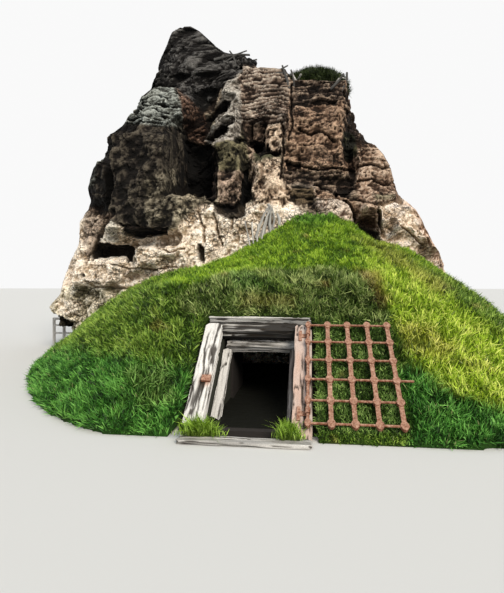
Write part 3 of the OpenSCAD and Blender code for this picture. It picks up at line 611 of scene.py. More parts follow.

# Which rock shows where on the front: its kind, how far it covers, how soft its edge is and its
# outline, in pixels of the photograph's frame. Later ones lie over earlier ones.
# The cleft patches are painted shade: in the clefts, and the shadow under the overhang
ROCK_PATCHES = (
    ("overhang_foot", 0.9, 3.0, ((84, 150), (120, 120), (292, 110), (292, 240), (84, 240))),
    ("pale", 1.0, 2.5, ((60, 206), (98, 206), (118, 226), (170, 231), (200, 205), (292, 200), (350, 260),
                        (200, 320), (40, 330))),
    ("strata", 1.0, 2.0, ((222, 60), (292, 64), (293, 126), (240, 124))),
    ("rust", 1.0, 2.5, ((291, 78), (350, 78), (372, 150), (368, 200), (282, 200), (284, 130))),
    ("shoulder", 1.0, 2.0, ((356, 150), (372, 140), (402, 160), (412, 200), (357, 203))),
    ("boulder", 1.0, 1.5, ((381, 202), (404, 197), (480, 240), (480, 300), (400, 290), (384, 240))),
    ("tower", 1.0, 1.5, ((150, 94), (165, 84), (176, 90), (189, 104), (203, 112), (211, 104), (221, 88),
                         (226, 74), (231, 64), (286, 66), (286, 30), (150, 5), (130, 60))),
    ("red_brown", 1.0, 2.0, ((176, 89), (203, 110), (212, 138), (203, 147), (188, 139), (183, 128))),
    ("facet", 1.0, 1.2, ((165, 84), (176, 89), (181, 104), (184, 130), (177, 126), (167, 127), (155, 125),
                         (144, 128), (132, 123), (118, 129), (118, 100), (150, 88))),
    ("overhang", 1.0, 1.8, ((100, 128), (132, 123), (177, 126), (186, 132), (187, 168), (176, 199),
                            (171, 224), (164, 233), (146, 231), (121, 228), (101, 216), (84, 210),
                            (84, 150))),
    ("overhang_foot", 0.5, 3.0, ((143, 178), (176, 168), (178, 196), (172, 220), (145, 226))),
    ("cleft", 1.0, 1.8, ((183, 138), (203, 146), (217, 146), (219, 170), (217, 199), (209, 200),
                         (199, 196), (188, 193), (185, 168))),
    ("olive", 1.0, 2.0, ((216, 142), (247, 136), (250, 168), (240, 176), (218, 170))),
    ("pink_brown", 1.0, 2.0, ((218, 170), (247, 172), (244, 200), (232, 210), (219, 206))),
    ("cleft", 0.9, 2.0, ((214, 202), (232, 205), (246, 196), (244, 216), (228, 218), (216, 214))),
    ("chevron", 1.0, 1.0, ((226, 72), (239, 80), (242, 104), (241, 136), (229, 139), (209, 145), (205, 140),
                           (214, 122), (221, 96))),
    ("cleft", 0.9, 0.9, ((207, 119), (224, 99), (231, 102), (228, 109), (213, 122))),
    ("cleft", 0.9, 0.9, ((206, 139), (222, 125), (229, 127), (226, 133), (211, 142))),
    ("brown", 1.0, 2.0, ((243, 123), (284, 125), (284, 158), (250, 160))),
    ("cleft", 0.9, 1.5, ((254, 144), (272, 142), (281, 150), (280, 158), (255, 161))),
    ("moss", 0.5, 2.0, ((254, 152), (281, 154), (280, 160), (255, 162))),
    ("tan", 1.0, 1.2, ((268, 124), (282, 124), (282, 150), (270, 150))),
    ("tan", 1.0, 1.8, ((250, 163), (280, 157), (283, 176), (292, 186), (288, 206), (252, 204))),
    ("cleft", 0.95, 1.0, ((244, 172), (249, 168), (250, 190), (244, 204), (240, 203))),
    ("bedded", 0.9, 2.5, ((291, 80), (345, 78), (350, 96), (338, 100), (318, 97), (306, 106), (292, 110))),
    ("cleft", 0.6, 1.2, ((307, 101), (318, 96), (330, 98), (340, 97), (338, 103), (322, 104))),
    ("bedded", 0.8, 2.0, ((346, 96), (356, 112), (364, 141), (346, 136))),
    ("moss", 0.85, 1.5, ((345, 130), (355, 134), (358, 146), (356, 155), (347, 161), (344, 146))),
    ("cleft", 0.6, 1.2, ((286, 162), (302, 160), (302, 171), (287, 172))),
    ("cleft", 0.45, 1.2, ((314, 148), (326, 146), (339, 158), (336, 163), (322, 158))),
    ("bedded", 0.85, 2.0, ((283, 172), (318, 170), (356, 172), (357, 198), (318, 190), (284, 186))),
    ("niche", 1.0, 0.9, ((291, 184), (314, 187), (313, 203), (290, 201))),
    ("white", 0.15, 0.7, ((290, 182), (316, 184), (315, 204), (313, 204), (314, 187), (291, 185))),
    ("pink", 1.0, 1.5, ((316, 198), (338, 197), (352, 203), (356, 216), (352, 222), (336, 214), (314, 204))),
    ("shoulder", 1.0, 1.5, ((356, 203), (379, 204), (378, 232), (358, 224))),
    ("moss", 0.9, 1.8, ((356, 226), (379, 232), (382, 243), (366, 246), (352, 230))),
    ("moss", 0.6, 1.5, ((374, 192), (396, 194), (394, 200), (376, 199))),
    ("warm_face", 0.85, 2.0, ((404, 200), (430, 205), (480, 250), (480, 300), (437, 262), (420, 224),
                              (411, 206))),
    ("brown", 0.8, 3.0, ((84, 206), (100, 208), (106, 222), (92, 244), (82, 246))),
    ("overhang", 0.8, 1.5, ((84, 160), (96, 150), (107, 156), (109, 168), (101, 200), (88, 196))),
    ("facet", 0.7, 0.8, ((103, 153), (107, 157), (97, 164), (95, 178), (90, 188), (84, 190), (84, 170),
                         (93, 160))),
    ("brown", 0.8, 1.5, ((107, 212), (112, 216), (100, 236), (92, 254), (85, 262), (84, 254), (96, 232))),
    ("cleft", 1.0, 1.2, ((117, 223), (146, 228), (168, 228), (166, 236), (140, 239), (124, 235))),
    ("white", 0.9, 0.8, ((98, 240), (110, 219), (116, 226), (119, 243))),
    ("cleft", 0.95, 1.0, ((91, 248), (98, 242), (132, 247), (134, 253), (131, 266), (126, 256), (104, 254),
                          (93, 262), (90, 256))),
    ("cleft", 0.9, 0.8, ((197, 243), (205, 247), (203, 264), (198, 259))),
    ("cleft", 0.95, 0.6, ((79, 274), (83, 273), (84, 277), (81, 279))),
    ("rubble", 1.0, 1.5, ((66, 284), (94, 288), (128, 289), (140, 292), (108, 330), (70, 345), (40, 345),
                          (44, 300))),
    ("pale", 0.8, 1.2, ((56, 301), (70, 299), (79, 304), (76, 316), (58, 313))),
    ("cleft", 0.85, 1.2, ((40, 314), (56, 314), (70, 322), (71, 345), (40, 345))),
)

# How far specks stand out, and how far all the rock lies back, so that what stands out most doesn't
# pass its node's face by much
SPECK_RELIEF = 0.012
ROCK_SUNK = 0.04

# Long joints and the shadow lines under ledges: half the width of each, and its line. Both are cut in and
# painted dark: dark joints, and painted shadow under the ledges
ROCK_JOINTS = (
    (1.3, ((352, 199), (370, 201), (384, 203), (402, 199))),
    (1.6, ((380, 203), (381, 212), (380, 225), (385, 238))),
    (0.9, ((337, 196), (351, 203), (356, 214), (355, 223))),
    (1.1, ((84, 282), (94, 287), (110, 289), (128, 288), (141, 285))),
    (1.4, ((112, 211), (104, 226), (96, 240), (90, 252), (85, 263))),
    (0.8, ((129, 113), (141, 109), (152, 108), (168, 111))),
    (0.9, ((127, 119), (140, 116), (152, 114), (172, 115))),
    (0.7, ((138, 101), (150, 96), (160, 95), (170, 98))),
    (0.8, ((122, 124), (140, 121), (158, 121), (170, 122))),
    (0.8, ((142, 105), (156, 102), (172, 105))),
    (1.0, ((286, 160), (300, 165), (318, 171), (338, 168), (354, 171))),
    (1.0, ((316, 185), (330, 189), (344, 194), (357, 198))),
    (0.9, ((358, 166), (370, 163), (384, 168), (394, 166))),
    (0.8, ((358, 181), (374, 178), (388, 184), (398, 182))),
    (0.9, ((292, 84), (291, 104), (293, 124), (288, 140))),
    (0.9, ((252, 124), (251, 144))),
    (0.9, ((265, 124), (264, 141))),
    (1.0, ((282, 126), (283, 150), (281, 178))),
    (1.2, ((176, 128), (186, 134), (187, 160))),
    (1.0, ((196, 212), (204, 226), (203, 242))),
    (0.9, ((214, 214), (217, 232), (222, 246))),
    (0.8, ((232, 214), (231, 228))),
    (0.8, ((156, 246), (170, 252), (184, 249))),
    (0.8, ((104, 262), (126, 268), (150, 270), (176, 266))),
    (0.8, ((398, 222), (410, 232), (424, 246))),
    (0.8, ((300, 128), (312, 134), (322, 131), (334, 140))),
)


def seen_at(points):
    """Where points show from the stage's camera, in the photograph's pixels across and down."""
    stage = bpy.context.scene.stage_settings
    away = points - np.array(stage.eye)
    turn = stage.heading
    ahead = away @ (-math.sin(turn), math.cos(turn), 0)
    across = away @ (math.cos(turn), math.sin(turn), 0)
    return (PHOTO_W / 2 + stage.focal * across / ahead, stage.horizon - stage.focal * away[:, 2] / ahead,
            ahead)


def nearest_on(u, v, line):
    """How far points lie from a bent line, in pixels, and the places on it that are nearest."""
    near = np.full(len(u), 1e6)
    to_u, to_v = u.copy(), v.copy()
    for (x0, y0), (x1, y1) in zip(line, line[1:]):
        t = ((u - x0) * (x1 - x0) + (v - y0) * (y1 - y0)) / ((x1 - x0) ** 2 + (y1 - y0) ** 2)
        t = np.clip(t, 0, 1)
        gap = np.hypot(u - x0 - t * (x1 - x0), v - y0 - t * (y1 - y0))
        to_u = np.where(gap < near, x0 + t * (x1 - x0), to_u)
        to_v = np.where(gap < near, y0 + t * (y1 - y0), to_v)
        near = np.minimum(gap, near)
    return near, to_u, to_v


def close_to(u, v, line, reach):
    """The points whose place in the frame lies near a line's own box."""
    xs, ys = zip(*line)
    return np.flatnonzero((u > min(xs) - reach) & (u < max(xs) + reach)
                          & (v > min(ys) - reach) & (v < max(ys) + reach))


def covered(u, v, outline, soft):
    """How far each point lies inside an outline: 1 inside, 0 outside, and between at its edge."""
    share = np.zeros(len(u))
    chosen = close_to(u, v, outline, soft)
    if not len(chosen):
        return share
    us, vs = u[chosen], v[chosen]
    odd = np.zeros(len(chosen), bool)
    closed = (*outline, outline[0])
    for (x0, y0), (x1, y1) in zip(closed, closed[1:]):
        if y0 != y1:
            odd ^= ((y0 > vs) != (y1 > vs)) & (us < (x1 - x0) * (vs - y0) / (y1 - y0) + x0)
    away, _, _ = nearest_on(us, vs, closed)
    share[chosen] = step(-soft, soft, np.where(odd, away, -away))
    return share


# The crag's outline in the same frame, with a corner well below its foot at each side
CRAG_OUTLINE = (
    (36, 420), (38, 335), (45, 311), (61, 295), (65, 275), (72, 258), (79, 245), (80, 235), (80, 222),
    (87, 212), (91, 202), (88, 188), (90, 180), (94, 168), (98, 161), (105, 158), (105, 138), (114, 133),
    (124, 125), (131, 112), (137, 104), (142, 97), (150, 95), (152, 85), (157, 72), (162, 58), (168, 45),
    (172, 32), (177, 26), (190, 26), (200, 32), (210, 42), (218, 51), (227, 55), (247, 54), (256, 60),
    (259, 67), (285, 69), (291, 80), (338, 82), (349, 80), (351, 96), (355, 110), (361, 130), (365, 142),
    (375, 145), (383, 155), (390, 168), (394, 182), (398, 195), (405, 201), (415, 210), (423, 225),
    (430, 240), (438, 251), (443, 263), (447, 275), (456, 288), (500, 300), (500, 420))


def drawn_in(points, outline):
    """The points that show outside an outline, drawn in most of the way to it."""
    # How far the outline wanders and the most that a point is drawn in, both in pixels, and the share
    # of its way to the outline that it is drawn in
    wander, most, share_drawn = 1.2, 18, 0.92
    u, v, ahead = seen_at(points)
    u = u + wander * layered(points, 0.22, 191)
    v = v + wander * layered(points, 0.22, 192)
    chosen = np.flatnonzero(covered(u, v, outline, 0.1) < 0.5)
    us, vs = u[chosen], v[chosen]
    near, to_u, to_v = nearest_on(us, vs, (*outline, outline[0]))
    stage = bpy.context.scene.stage_settings
    share = share_drawn * np.minimum(near, most) / np.maximum(near, 1e-6) * ahead[chosen] / stage.focal
    across = (math.cos(stage.heading), math.sin(stage.heading), 0)
    result = points.copy()
    result[chosen] += (share * (to_u - us))[:, None] * across - (share * (to_v - vs))[:, None] * (0, 0, 1)
    return result


def reshape_tower(moved, points):
    """Makes the tower's top blunt and its right side wide. The outline then trims both."""
    low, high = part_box("tower_top_rock")
    blunt = step(high.z - 1.1, high.z - 0.4, points[:, 2])
    moved[:, 0] += 0.7 * (points[:, 0] - (low.x + high.x) / 2) * blunt
    # The right side is between columns 186 and 244, above row 84
    u, v, _ = seen_at(points)
    moved[:, 0] += 0.45 * step(186, 205, u) * (1 - step(226, 244, u)) * (1 - step(68, 84, v))


def bulge(piece, points, normals, rounds):
    """How far each point stands out from the rock that so many rounds of edges reach, in metres."""
    ends = np.empty(len(piece.data.edges) * 2, np.int32)
    piece.data.edges.foreach_get("vertices", ends)
    a, b = ends.reshape(-1, 2).T
    count = np.maximum(np.bincount(a, minlength=len(points)) + np.bincount(b, minlength=len(points)), 1)
    around = points.copy()
    for _ in range(rounds):
        around = np.stack([
            (np.bincount(a, around[b, k], len(points)) + np.bincount(b, around[a, k], len(points))) / count
            for k in range(3)], 1)
    return ((points - around) * normals).sum(1)


def relief_light_and_shade(piece, points, normals):
    """Painted highlight on what stands out of the rock and painted shade in what lies back, in fine and in
    broad forms.
    """
    fine = np.clip(bulge(piece, points, normals, 2) / 0.008, -1, 1)
    broad = np.clip(bulge(piece, points, normals, 16) / 0.03, -1, 1)
    return 0.17 * fine + 0.26 * broad


def bedding(points, level, thick, seed):
    """Thin beds: each stands out at its top, falls back below, and breaks along its length."""
    row = np.floor(level / thick)
    rise = level / thick - row
    start = 7 * scramble(np.stack([row, row, row], 1), seed)
    along = (points[:, 0] + 0.8 * points[:, 1]) / 0.42 + start + 0.4 * smooth(points, 0.25, seed + 1)
    value = scramble(np.stack([np.floor(along), row, row], 1), seed + 2)
    return 1.1 * (value - 0.5) + (rise - 0.55)


def rock_marks(points):
    """The patterns that both the rock's shape and its colour follow."""
    # Outlines and joints wander by a few pixels
    u, v, ahead = seen_at(points)
    wander = np.stack([layered(points, 0.3, 40 + 7 * k) for k in range(2)], 1)
    fine = np.stack([smooth(points, 0.09, 60 + k) for k in range(2)], 1)
    u = u + 1.7 * wander[:, 0] + 0.8 * fine[:, 0]
    v = v + 1.7 * wander[:, 1] + 0.8 * fine[:, 1]
    # Beds lie nearly level, or zigzag every 2.6 m
    x, y, z = points.T
    level = z + 0.07 * smooth(points, (0.55, 0.55, 3.0), 61) + 0.03 * smooth(points, (0.2, 0.2, 1.0), 62)
    slant = z - 0.55 * np.abs((x + 0.8) % 2.6 - 1.3)
    # Blocks half a metre wide, stones in them of 170 mm, crumbs of 85 mm, and specks finer still
    bent = points + 0.09 * np.stack([smooth(points, 0.5, 33 + k) for k in range(3)], 1)
    block, face, _ = broken(bent, np.array((0.5, 0.5, 0.32)), 3)
    stone, stone_face, _ = broken(points, np.array((0.17, 0.17, 0.12)), 23)
    crumb, _, centre = broken(points, 0.085, 51)
    speck = (0.75 * smooth(points, 0.06, 71) + 0.55 * smooth(points, 0.13, 72) + 0.7 * (stone - 0.5)
             + 0.7 * (crumb - 0.5))
    return {
        "u": u, "v": v, "ahead": ahead,
        "block": block, "face": face, "stone": stone, "stone_face": stone_face,
        "pit": step(0.55, 0.2, centre) * step(0.66, 0.74, crumb),
        "crease": creases(points, 0.62, 12) + 0.42 * creases(points, 0.24, 19),
        "speck": speck,
        "rib": layered(points + 0.05 * fine[:, :1], (0.10, 0.10, 0.75), 81),
        "bed": bedding(points, level, 0.105, 91),
        "slant": bedding(points, slant, 0.12, 95),
        "front": 1 - step(1.6, 2.2, y),
    }


def rock_shares(points, marks):
    """How much of each kind of rock there is at each point."""
    shares = shares_of(ROCK_KINDS, len(points))
    z = points[:, 2] + 0.7 * layered(points, 1.3, 44) + 0.25 * layered(points, 0.3, 45)
    low, top = 1 - step(2.0, 3.3, z), step(6.2, 6.9, z)
    right = step(1.4, 2.0, points[:, 0])
    shares["pale"] += low * (1 - right)
    shares["boulder"] += low * right
    shares["tower"] += top * (1 - right)
    shares["bedded"] += top * right
    middle = 1 - low - top
    shares["overhang_foot"] += middle * (1 - right) * 0.5
    shares["brown"] += middle * (1 - right) * 0.5
    shares["rust"] += middle * right
    for kind, amount, soft, outline in ROCK_PATCHES:
        lay_over(shares, kind, amount * marks["front"] * covered(marks["u"], marks["v"], outline, soft))
    return shares


def rock_traits(shares):
    """How much of each trait the rock has at each point."""
    return {trait: mixed(shares, ROCK_KINDS, column) for column, trait in enumerate(ROCK_TRAITS, 3)}


def rock_lines(marks):
    """How deep the long joints cut in at each point."""
    depth = np.zeros(len(marks["u"]))
    for half, line in ROCK_JOINTS:
        chosen = close_to(marks["u"], marks["v"], line, 3 * half)
        near, _, _ = nearest_on(marks["u"][chosen], marks["v"][chosen], line)
        depth[chosen] = np.maximum(depth[chosen], 1 - step(0.5 * half, 1.6 * half, near))
    return depth * marks["front"]


def shape_rock(marks, shares, traits, lines, settings):
    """How far each point of the rock moves outwards."""
    out = traits["rough"] * (
        settings.block_relief * (0.5 * (marks["block"] - 0.5) + marks["face"])
        + settings.stone_relief * (0.5 * (marks["stone"] - 0.5) + marks["stone_face"])
        + settings.crease_relief * marks["crease"])
    out += SPECK_RELIEF * marks["speck"]
    out += settings.rib_relief * traits["rib"] * marks["rib"]
    out += settings.bed_relief * (traits["bed"] * marks["bed"] + traits["slant"] * marks["slant"])
    out -= settings.pit_depth * marks["pit"] * traits["speck"]
    # Clefts cut in deeper than joints do
    out -= 1.3 * settings.joint_depth * (shares["cleft"] > 0.5)
    return out - settings.joint_depth * lines - ROCK_SUNK


def hollows(marks):
    """How far each point lies behind the rock around it, seen from the front, in metres."""
    # A grid over the photograph's frame, and above it, keeps the nearest rock in each of its cells
    cell, cells, above, empty = 2.0, 400, 100, 1e3
    col = np.clip((marks["u"] / cell).astype(int), 0, cells - 1)
    row = np.clip((marks["v"] / cell).astype(int) + above, 0, cells - 1)
    near = np.full((cells, cells), empty)
    np.minimum.at(near, (row, col), marks["ahead"])
    known = (near < empty).astype(float)
    near = np.where(known > 0, near, 0.0)
    result = np.zeros(len(row))
    for reach, part in ((3, 0.6), (8, 0.4)):
        total, weight = near.copy(), known.copy()
        for _ in range(2):
            for axis in (0, 1):
                total = sum(np.roll(total, k, axis) for k in range(-reach, reach + 1))
                weight = sum(np.roll(weight, k, axis) for k in range(-reach, reach + 1))
        around = total / np.maximum(weight, 1e-9)
        result += part * np.clip(marks["ahead"] - around[row, col], -0.3, 0.5)
    return result * marks["front"]


def outwards(points, normals):
    """The way that the rock's points move: level out of the crag, and up where the rock faces up."""
    low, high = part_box("centre_rock")
    _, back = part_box("back_left_rock")
    middle = np.array(((low.x + high.x) / 2, back.y * 0.55, 0.0))
    # As on an oval 9 m wide and 4 m deep
    way = (points - middle) / np.array((4.5, 2.0, 1.0)) ** 2
    way[:, 2] = 0.0
    way /= np.maximum(np.linalg.norm(way, axis=1), 1e-6)[:, None]
    way = way + 0.35 * normals + (0, 0, 1) * (1.5 * step(0.5, 0.9, normals[:, 2]))[:, None]
    return way / np.linalg.norm(way, axis=1)[:, None]


def rock_tint(points, normals, marks, shares, traits, lines):
    """The rock's colours: painted highlight on what stands out, painted shade in the hollows, in the pits
    and on faces that look down, painted light on faces that look up, painted shadow under the ledges, and
    dark joints.
    """
    tone = 0.5 + 0.45 * (traits["speck"] * marks["speck"] + 1.5 * traits["rib"] * marks["rib"]
                         + 1.1 * traits["bed"] * marks["bed"] + 1.1 * traits["slant"] * marks["slant"])
    tone += 0.3 * (marks["block"] - 0.5) + 0.25 * marks["crease"]
    # Random tone, and the painted highlight and shade of the relief
    tone += 0.25 * layered(points, 0.5, 84) + marks["bulge"]
    # Painted light on faces that look up, painted shade on faces that look down
    tone += 0.22 * step(0.2, 0.8, normals[:, 2]) - 0.3 * step(-0.1, -0.7, normals[:, 2])
    # Painted shade in the pits where stones fell out
    tone -= 0.8 * marks["pit"] * traits["speck"]
    # Painted shade: points that lie behind the rock around them are painted darker
    tone -= traits["damp"] * step(0.02, 0.22, hollows(marks))
    # Dark joints, and painted shadow along the lines under ledges
    return mixed_tint(shares, ROCK_KINDS, tone - 0.85 * lines)


class TURFHOUSE_OT_crag(bpy.types.Operator):
    """Builds the broken rock crag"""
    bl_idname = "turfhouse.crag"
    bl_label = "Crag"

    def execute(self, context):
        settings = context.scene.crag_settings
        whole = joined_copy("crag", CRAG_NODES)
        remesh(whole, settings.voxel)
        points, normals = points_of(whole), normals_of(whole)
        marks = rock_marks(points)
        shares = rock_shares(points, marks)
        traits = rock_traits(shares)
        lines = rock_lines(marks)
        out = shape_rock(marks, shares, traits, lines, settings)
        moved = points + outwards(points, normals) * out[:, None]
        reshape_tower(moved, points)
        moved = drawn_in(moved, CRAG_OUTLINE)
        # The foot stays on the floor
        moved[:, 2] = np.maximum(moved[:, 2], 0.0)
        set_points(whole, moved)
        marks["ahead"] = seen_at(moved)[2]
        normals = normals_of(whole)
        # Painted light and shade by relief: lighter where the rock stands out, darker where it lies back
        marks["bulge"] = relief_light_and_shade(whole, moved, normals)
        set_tint(whole, rock_tint(moved, normals, marks, shares, traits, lines))
        # Each part is the whole, cut off at the planes where its neighbours begin
        low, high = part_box("centre_rock")
        behind = ((0, high.y, 0), (0, 1, 0))
        parts = (
            ("crag_left", LEFT_ROCKS, ((low.x, 0, 0), (1, 0, 0)), behind),
            ("crag_centre", CENTRE_ROCKS, ((low.x, 0, 0), (-1, 0, 0)), ((high.x, 0, 0), (1, 0, 0)), behind),
            ("crag_right", RIGHT_ROCKS, ((high.x, 0, 0), (-1, 0, 0)), behind),
            ("crag_back", BACK_ROCKS, ((0, high.y, 0), (0, -1, 0))))
        for name, nodes, *cuts in parts:
            piece = new_piece(name, whole.data.copy())
            for place, direction in cuts:
                cut_off(piece, place, direction)
            if name == "crag_back":
                # The back shows plainer rock, which needs fewer faces
                apply_modifier(piece, "DECIMATE", ratio=0.25)
            finish_piece(piece, material_of("tuff"), nodes)
        bpy.data.objects.remove(whole)
        return {"FINISHED"}


# The turf

# Its front edge
TURF_FRONT = -5.2

# Long grass at the doorway's feet
TUFT_LENGTH = 0.37
TUFT_WIDTH = 0.011

# Dark grass on the crag's crown, the spacing of the points on its sod, and how far that has sunk
CROWN_BLADES = 9000
CROWN_LENGTH = 0.17
CROWN_WIDTH = 0.014
CROWN_VOXEL = 0.03
CROWN_SOD_SUNK = 0.19


def gate_place(points):
    """Where points lie in the gate's own plane: across, up the slope and out of it."""
    away = points - HINGE_FOOT
    return away[:, 0], away @ SLOPE_UP, away @ SLOPE_OUT


def under_gate(points):
    """Where the gate lies open on the turf, and no lump may lift into it."""
    _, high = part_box("gate_uprights")
    across, up, _ = gate_place(points)
    width = high.x - HINGE_FOOT[0]
    length = (high.z - HINGE_FOOT[2]) / SLOPE_UP[2]
    soft = 0.06
    return (step(-0.2 - soft, -0.2, across) * (1 - step(width, width + soft, across))
            * step(-0.3, -0.2, up) * (1 - step(length, length + soft, up)))


def near_doorway(points):
    """Where the turf meets the posts, and no lump may cover them."""
    low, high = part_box("lintel")
    across = step(low.x - 0.3, low.x - 0.12, points[:, 0]) * (
        1 - step(high.x + 0.02, high.x + 0.2, points[:, 0]))
    return across * (1 - step(high.y + 0.05, high.y + 0.25, points[:, 1]))


# Dark, middle and light of each kind of grass, and then how long it grows
GRASS_KINDS = {
    "side": ("#1f350b", "#557a20", "#a4c254", 1.1),
    "deep": ("#103009", "#357524", "#7cc058", 1.15),
    "crest": ("#34540f", "#6f981e", "#b4d442", 0.85),
    "dull": ("#141f08", "#5e7a30", "#b8c67c", 1.2),
    "bright": ("#52740f", "#c0e03c", "#f2ff80", 1.1),
    "dry": ("#54401e", "#ae8c4c", "#e2c486", 0.95),
    "bed": ("#182408", "#4a6c28", "#a2c46e", 1.15),
}
GRASS_GROWTH = 3

# Which grass grows where, and where the grass is painted lighter in the light and darker in the shade: its
# kind, how far it covers, how soft its edge is and its outline, in pixels of the photograph's frame. Later
# ones lie over earlier ones.
GRASS_PATCHES = (
    ("crest", 1.0, 5, ((158, 284), (195, 272), (240, 244), (282, 212), (302, 204), (332, 212), (372, 242),
                       (412, 266), (450, 300), (504, 345), (540, 400), (495, 395), (432, 366), (396, 326),
                       (376, 298), (365, 277), (332, 270), (257, 274), (227, 277), (195, 288))),
    ("deep", 0.6, 5, ((283, 208), (320, 203), (343, 220), (320, 226), (290, 224))),
    ("dull", 0.95, 3, ((195, 288), (227, 277), (257, 273), (332, 269), (367, 276), (380, 300), (390, 322),
                       (387, 326), (300, 322), (205, 318), (180, 316), (180, 300))),
    ("side", 0.5, 5, ((255, 280), (285, 278), (300, 296), (260, 300))),
    ("deep", 0.3, 3, ((229, 276), (257, 276), (262, 292), (232, 294))),
    ("dry", 0.25, 4, ((240, 299), (298, 297), (296, 309), (243, 310))),
    # Brighter grass on the right flank: fresh grass, and painted light where the light falls
    ("bright", 0.75, 6, ((360, 250), (412, 268), (450, 300), (540, 360), (540, 420), (432, 366), (396, 326),
                         (380, 296))),
    ("bright", 0.9, 6, ((396, 322), (432, 318), (504, 350), (540, 420), (457, 396), (412, 366))),
    ("dry", 0.5, 4, ((352, 269), (378, 276), (388, 305), (380, 312), (366, 288))),
    ("dry", 0.4, 6, ((398, 324), (430, 326), (458, 352), (440, 366), (404, 350))),
    ("dry", 0.35, 6, ((352, 236), (392, 248), (452, 288), (440, 300), (396, 268))),
    # Deep green on the lower flanks: longer grass, and painted shade on the shadowed flanks
    ("deep", 0.9, 7, ((398, 378), (408, 362), (446, 396), (540, 430), (540, 470), (405, 470), (408, 430))),
    ("deep", 0.9, 10, ((0, 352), (82, 350), (145, 364), (192, 368), (190, 470), (0, 470))),
    ("dull", 0.45, 6, ((128, 372), (168, 366), (176, 404), (140, 412))),
    ("bed", 0.85, 3, ((303, 324), (389, 324), (408, 434), (303, 434))),
)


def turf_kinds(points):
    """How much of each kind of grass there is at each point."""
    u, v, _ = seen_at(points)
    u = u + 6.0 * layered(points, 0.5, 141) + 2.5 * smooth(points, 0.13, 142)
    v = v + 4.0 * layered(points, 0.5, 143) + 1.5 * smooth(points, 0.13, 144)
    shares = shares_of(GRASS_KINDS, len(points))
    high = step(1.5, 2.1, points[:, 2] + 0.3 * layered(points, 0.8, 145))
    shares["side"] += 1 - high
    shares["crest"] += high
    seen = 1 - step(0.3, 0.8, points[:, 1])
    for kind, amount, soft, outline in GRASS_PATCHES:
        lay_over(shares, kind, amount * seen * covered(u, v, outline, soft))
    # Dry straw comes through in spots
    lay_over(shares, "dry", 0.55 * step(0.35, 0.75, layered(points, 0.32, 146)) * (1 - shares["deep"]))
    return shares


def mesh_from_blades(name, rows):
    """One mesh of many small blades, each a foot, two sides and a tip."""
    count = len(rows)
    mesh = bpy.data.meshes.new(name)
    mesh.vertices.add(count * 4)
    mesh.vertices.foreach_set("co", rows.astype(np.float32).ravel())
    pattern = np.array((0, 1, 2, 1, 3, 2))
    loops = (np.arange(count)[:, None] * 4 + pattern).ravel()
    mesh.loops.add(len(loops))
    mesh.loops.foreach_set("vertex_index", loops.astype(np.int32))
    mesh.polygons.add(count * 2)
    mesh.polygons.foreach_set("loop_start", np.arange(0, count * 6, 3, dtype=np.int32))
    mesh.update(calc_edges=True)
    return new_piece(name, mesh)


def scatter(piece, count, weight, rng):
    """Random places on a piece's faces, more of them where the weight is higher."""
    mesh = piece.data
    mesh.calc_loop_triangles()
    corner = np.empty(len(mesh.loop_triangles) * 3, np.int32)
    mesh.loop_triangles.foreach_get("vertices", corner)
    a, b, c = (points_of(piece)[corner.reshape(-1, 3)[:, k]] for k in range(3))
    normal = np.cross(b - a, c - a)
    area = np.linalg.norm(normal, axis=1) / 2
    normal /= np.maximum(2 * area, 1e-12)[:, None]
    chance = area * weight((a + b + c) / 3, normal)
    chosen = rng.choice(len(area), size=count, p=chance / chance.sum())
    u, v = rng.random(count), rng.random(count)
    flip = u + v > 1
    u, v = np.where(flip, 1 - u, u), np.where(flip, 1 - v, v)
    place = a[chosen] + (b - a)[chosen] * u[:, None] + (c - a)[chosen] * v[:, None]
    return place, normal[chosen]


def sown(inside):
    """How thickly grass is sown in a part: thinner towards the back, and none on steep faces."""
    def weight(centre, normal):
        near = 1 / (1 + 0.25 * np.maximum(centre[:, 1] - TURF_FRONT, 0)) ** 1.2
        hidden = 1 - 0.7 * step(0.3, 1.2, centre[:, 1])
        return (inside(centre) * step(0.05, 0.3, normal[:, 2]) * near * hidden
                * step(0.0, 0.02, centre[:, 2]))
    return weight


def grow(name, place, normal, length, width, tint, rng, lean=0.45, rise=(0, 0, 0.6)):
    """Blades of grass on given places, leaning together in tufts."""
    count = len(place)
    tuft = np.stack([smooth(place, 0.14, 90 + k) for k in range(3)], 1)
    up = 0.6 * normal + rise + lean * tuft + 0.28 * rng.normal(size=(count, 3))
    up /= np.linalg.norm(up, axis=1)[:, None]
    side = np.cross(up, rng.normal(size=(count, 3)))
    side /= np.linalg.norm(side, axis=1)[:, None]
    droop = np.cross(side, up) * rng.uniform(-0.5, 0.5, count)[:, None] + (0, 0, -0.15)
    half = (width / 2)[:, None] * side
    foot = place - 0.02 * normal
    middle = foot + up * (0.45 * length)[:, None]
    tip = foot + up * length[:, None] + droop * length[:, None]
    rows = np.stack([foot, middle - half, middle + half, tip], 1)
    rows[:, :, 2] = np.maximum(rows[:, :, 2], 0.002)
    piece = mesh_from_blades(name, rows)
    # Painted shade at the foot, where the blades shade each other, and lighter towards the tip
    shade = np.array((0.35, 0.85, 0.85, 1.3))
    set_tint(piece, (tint[:, None, :] * shade[None, :, None]).reshape(-1, 3))
    return piece


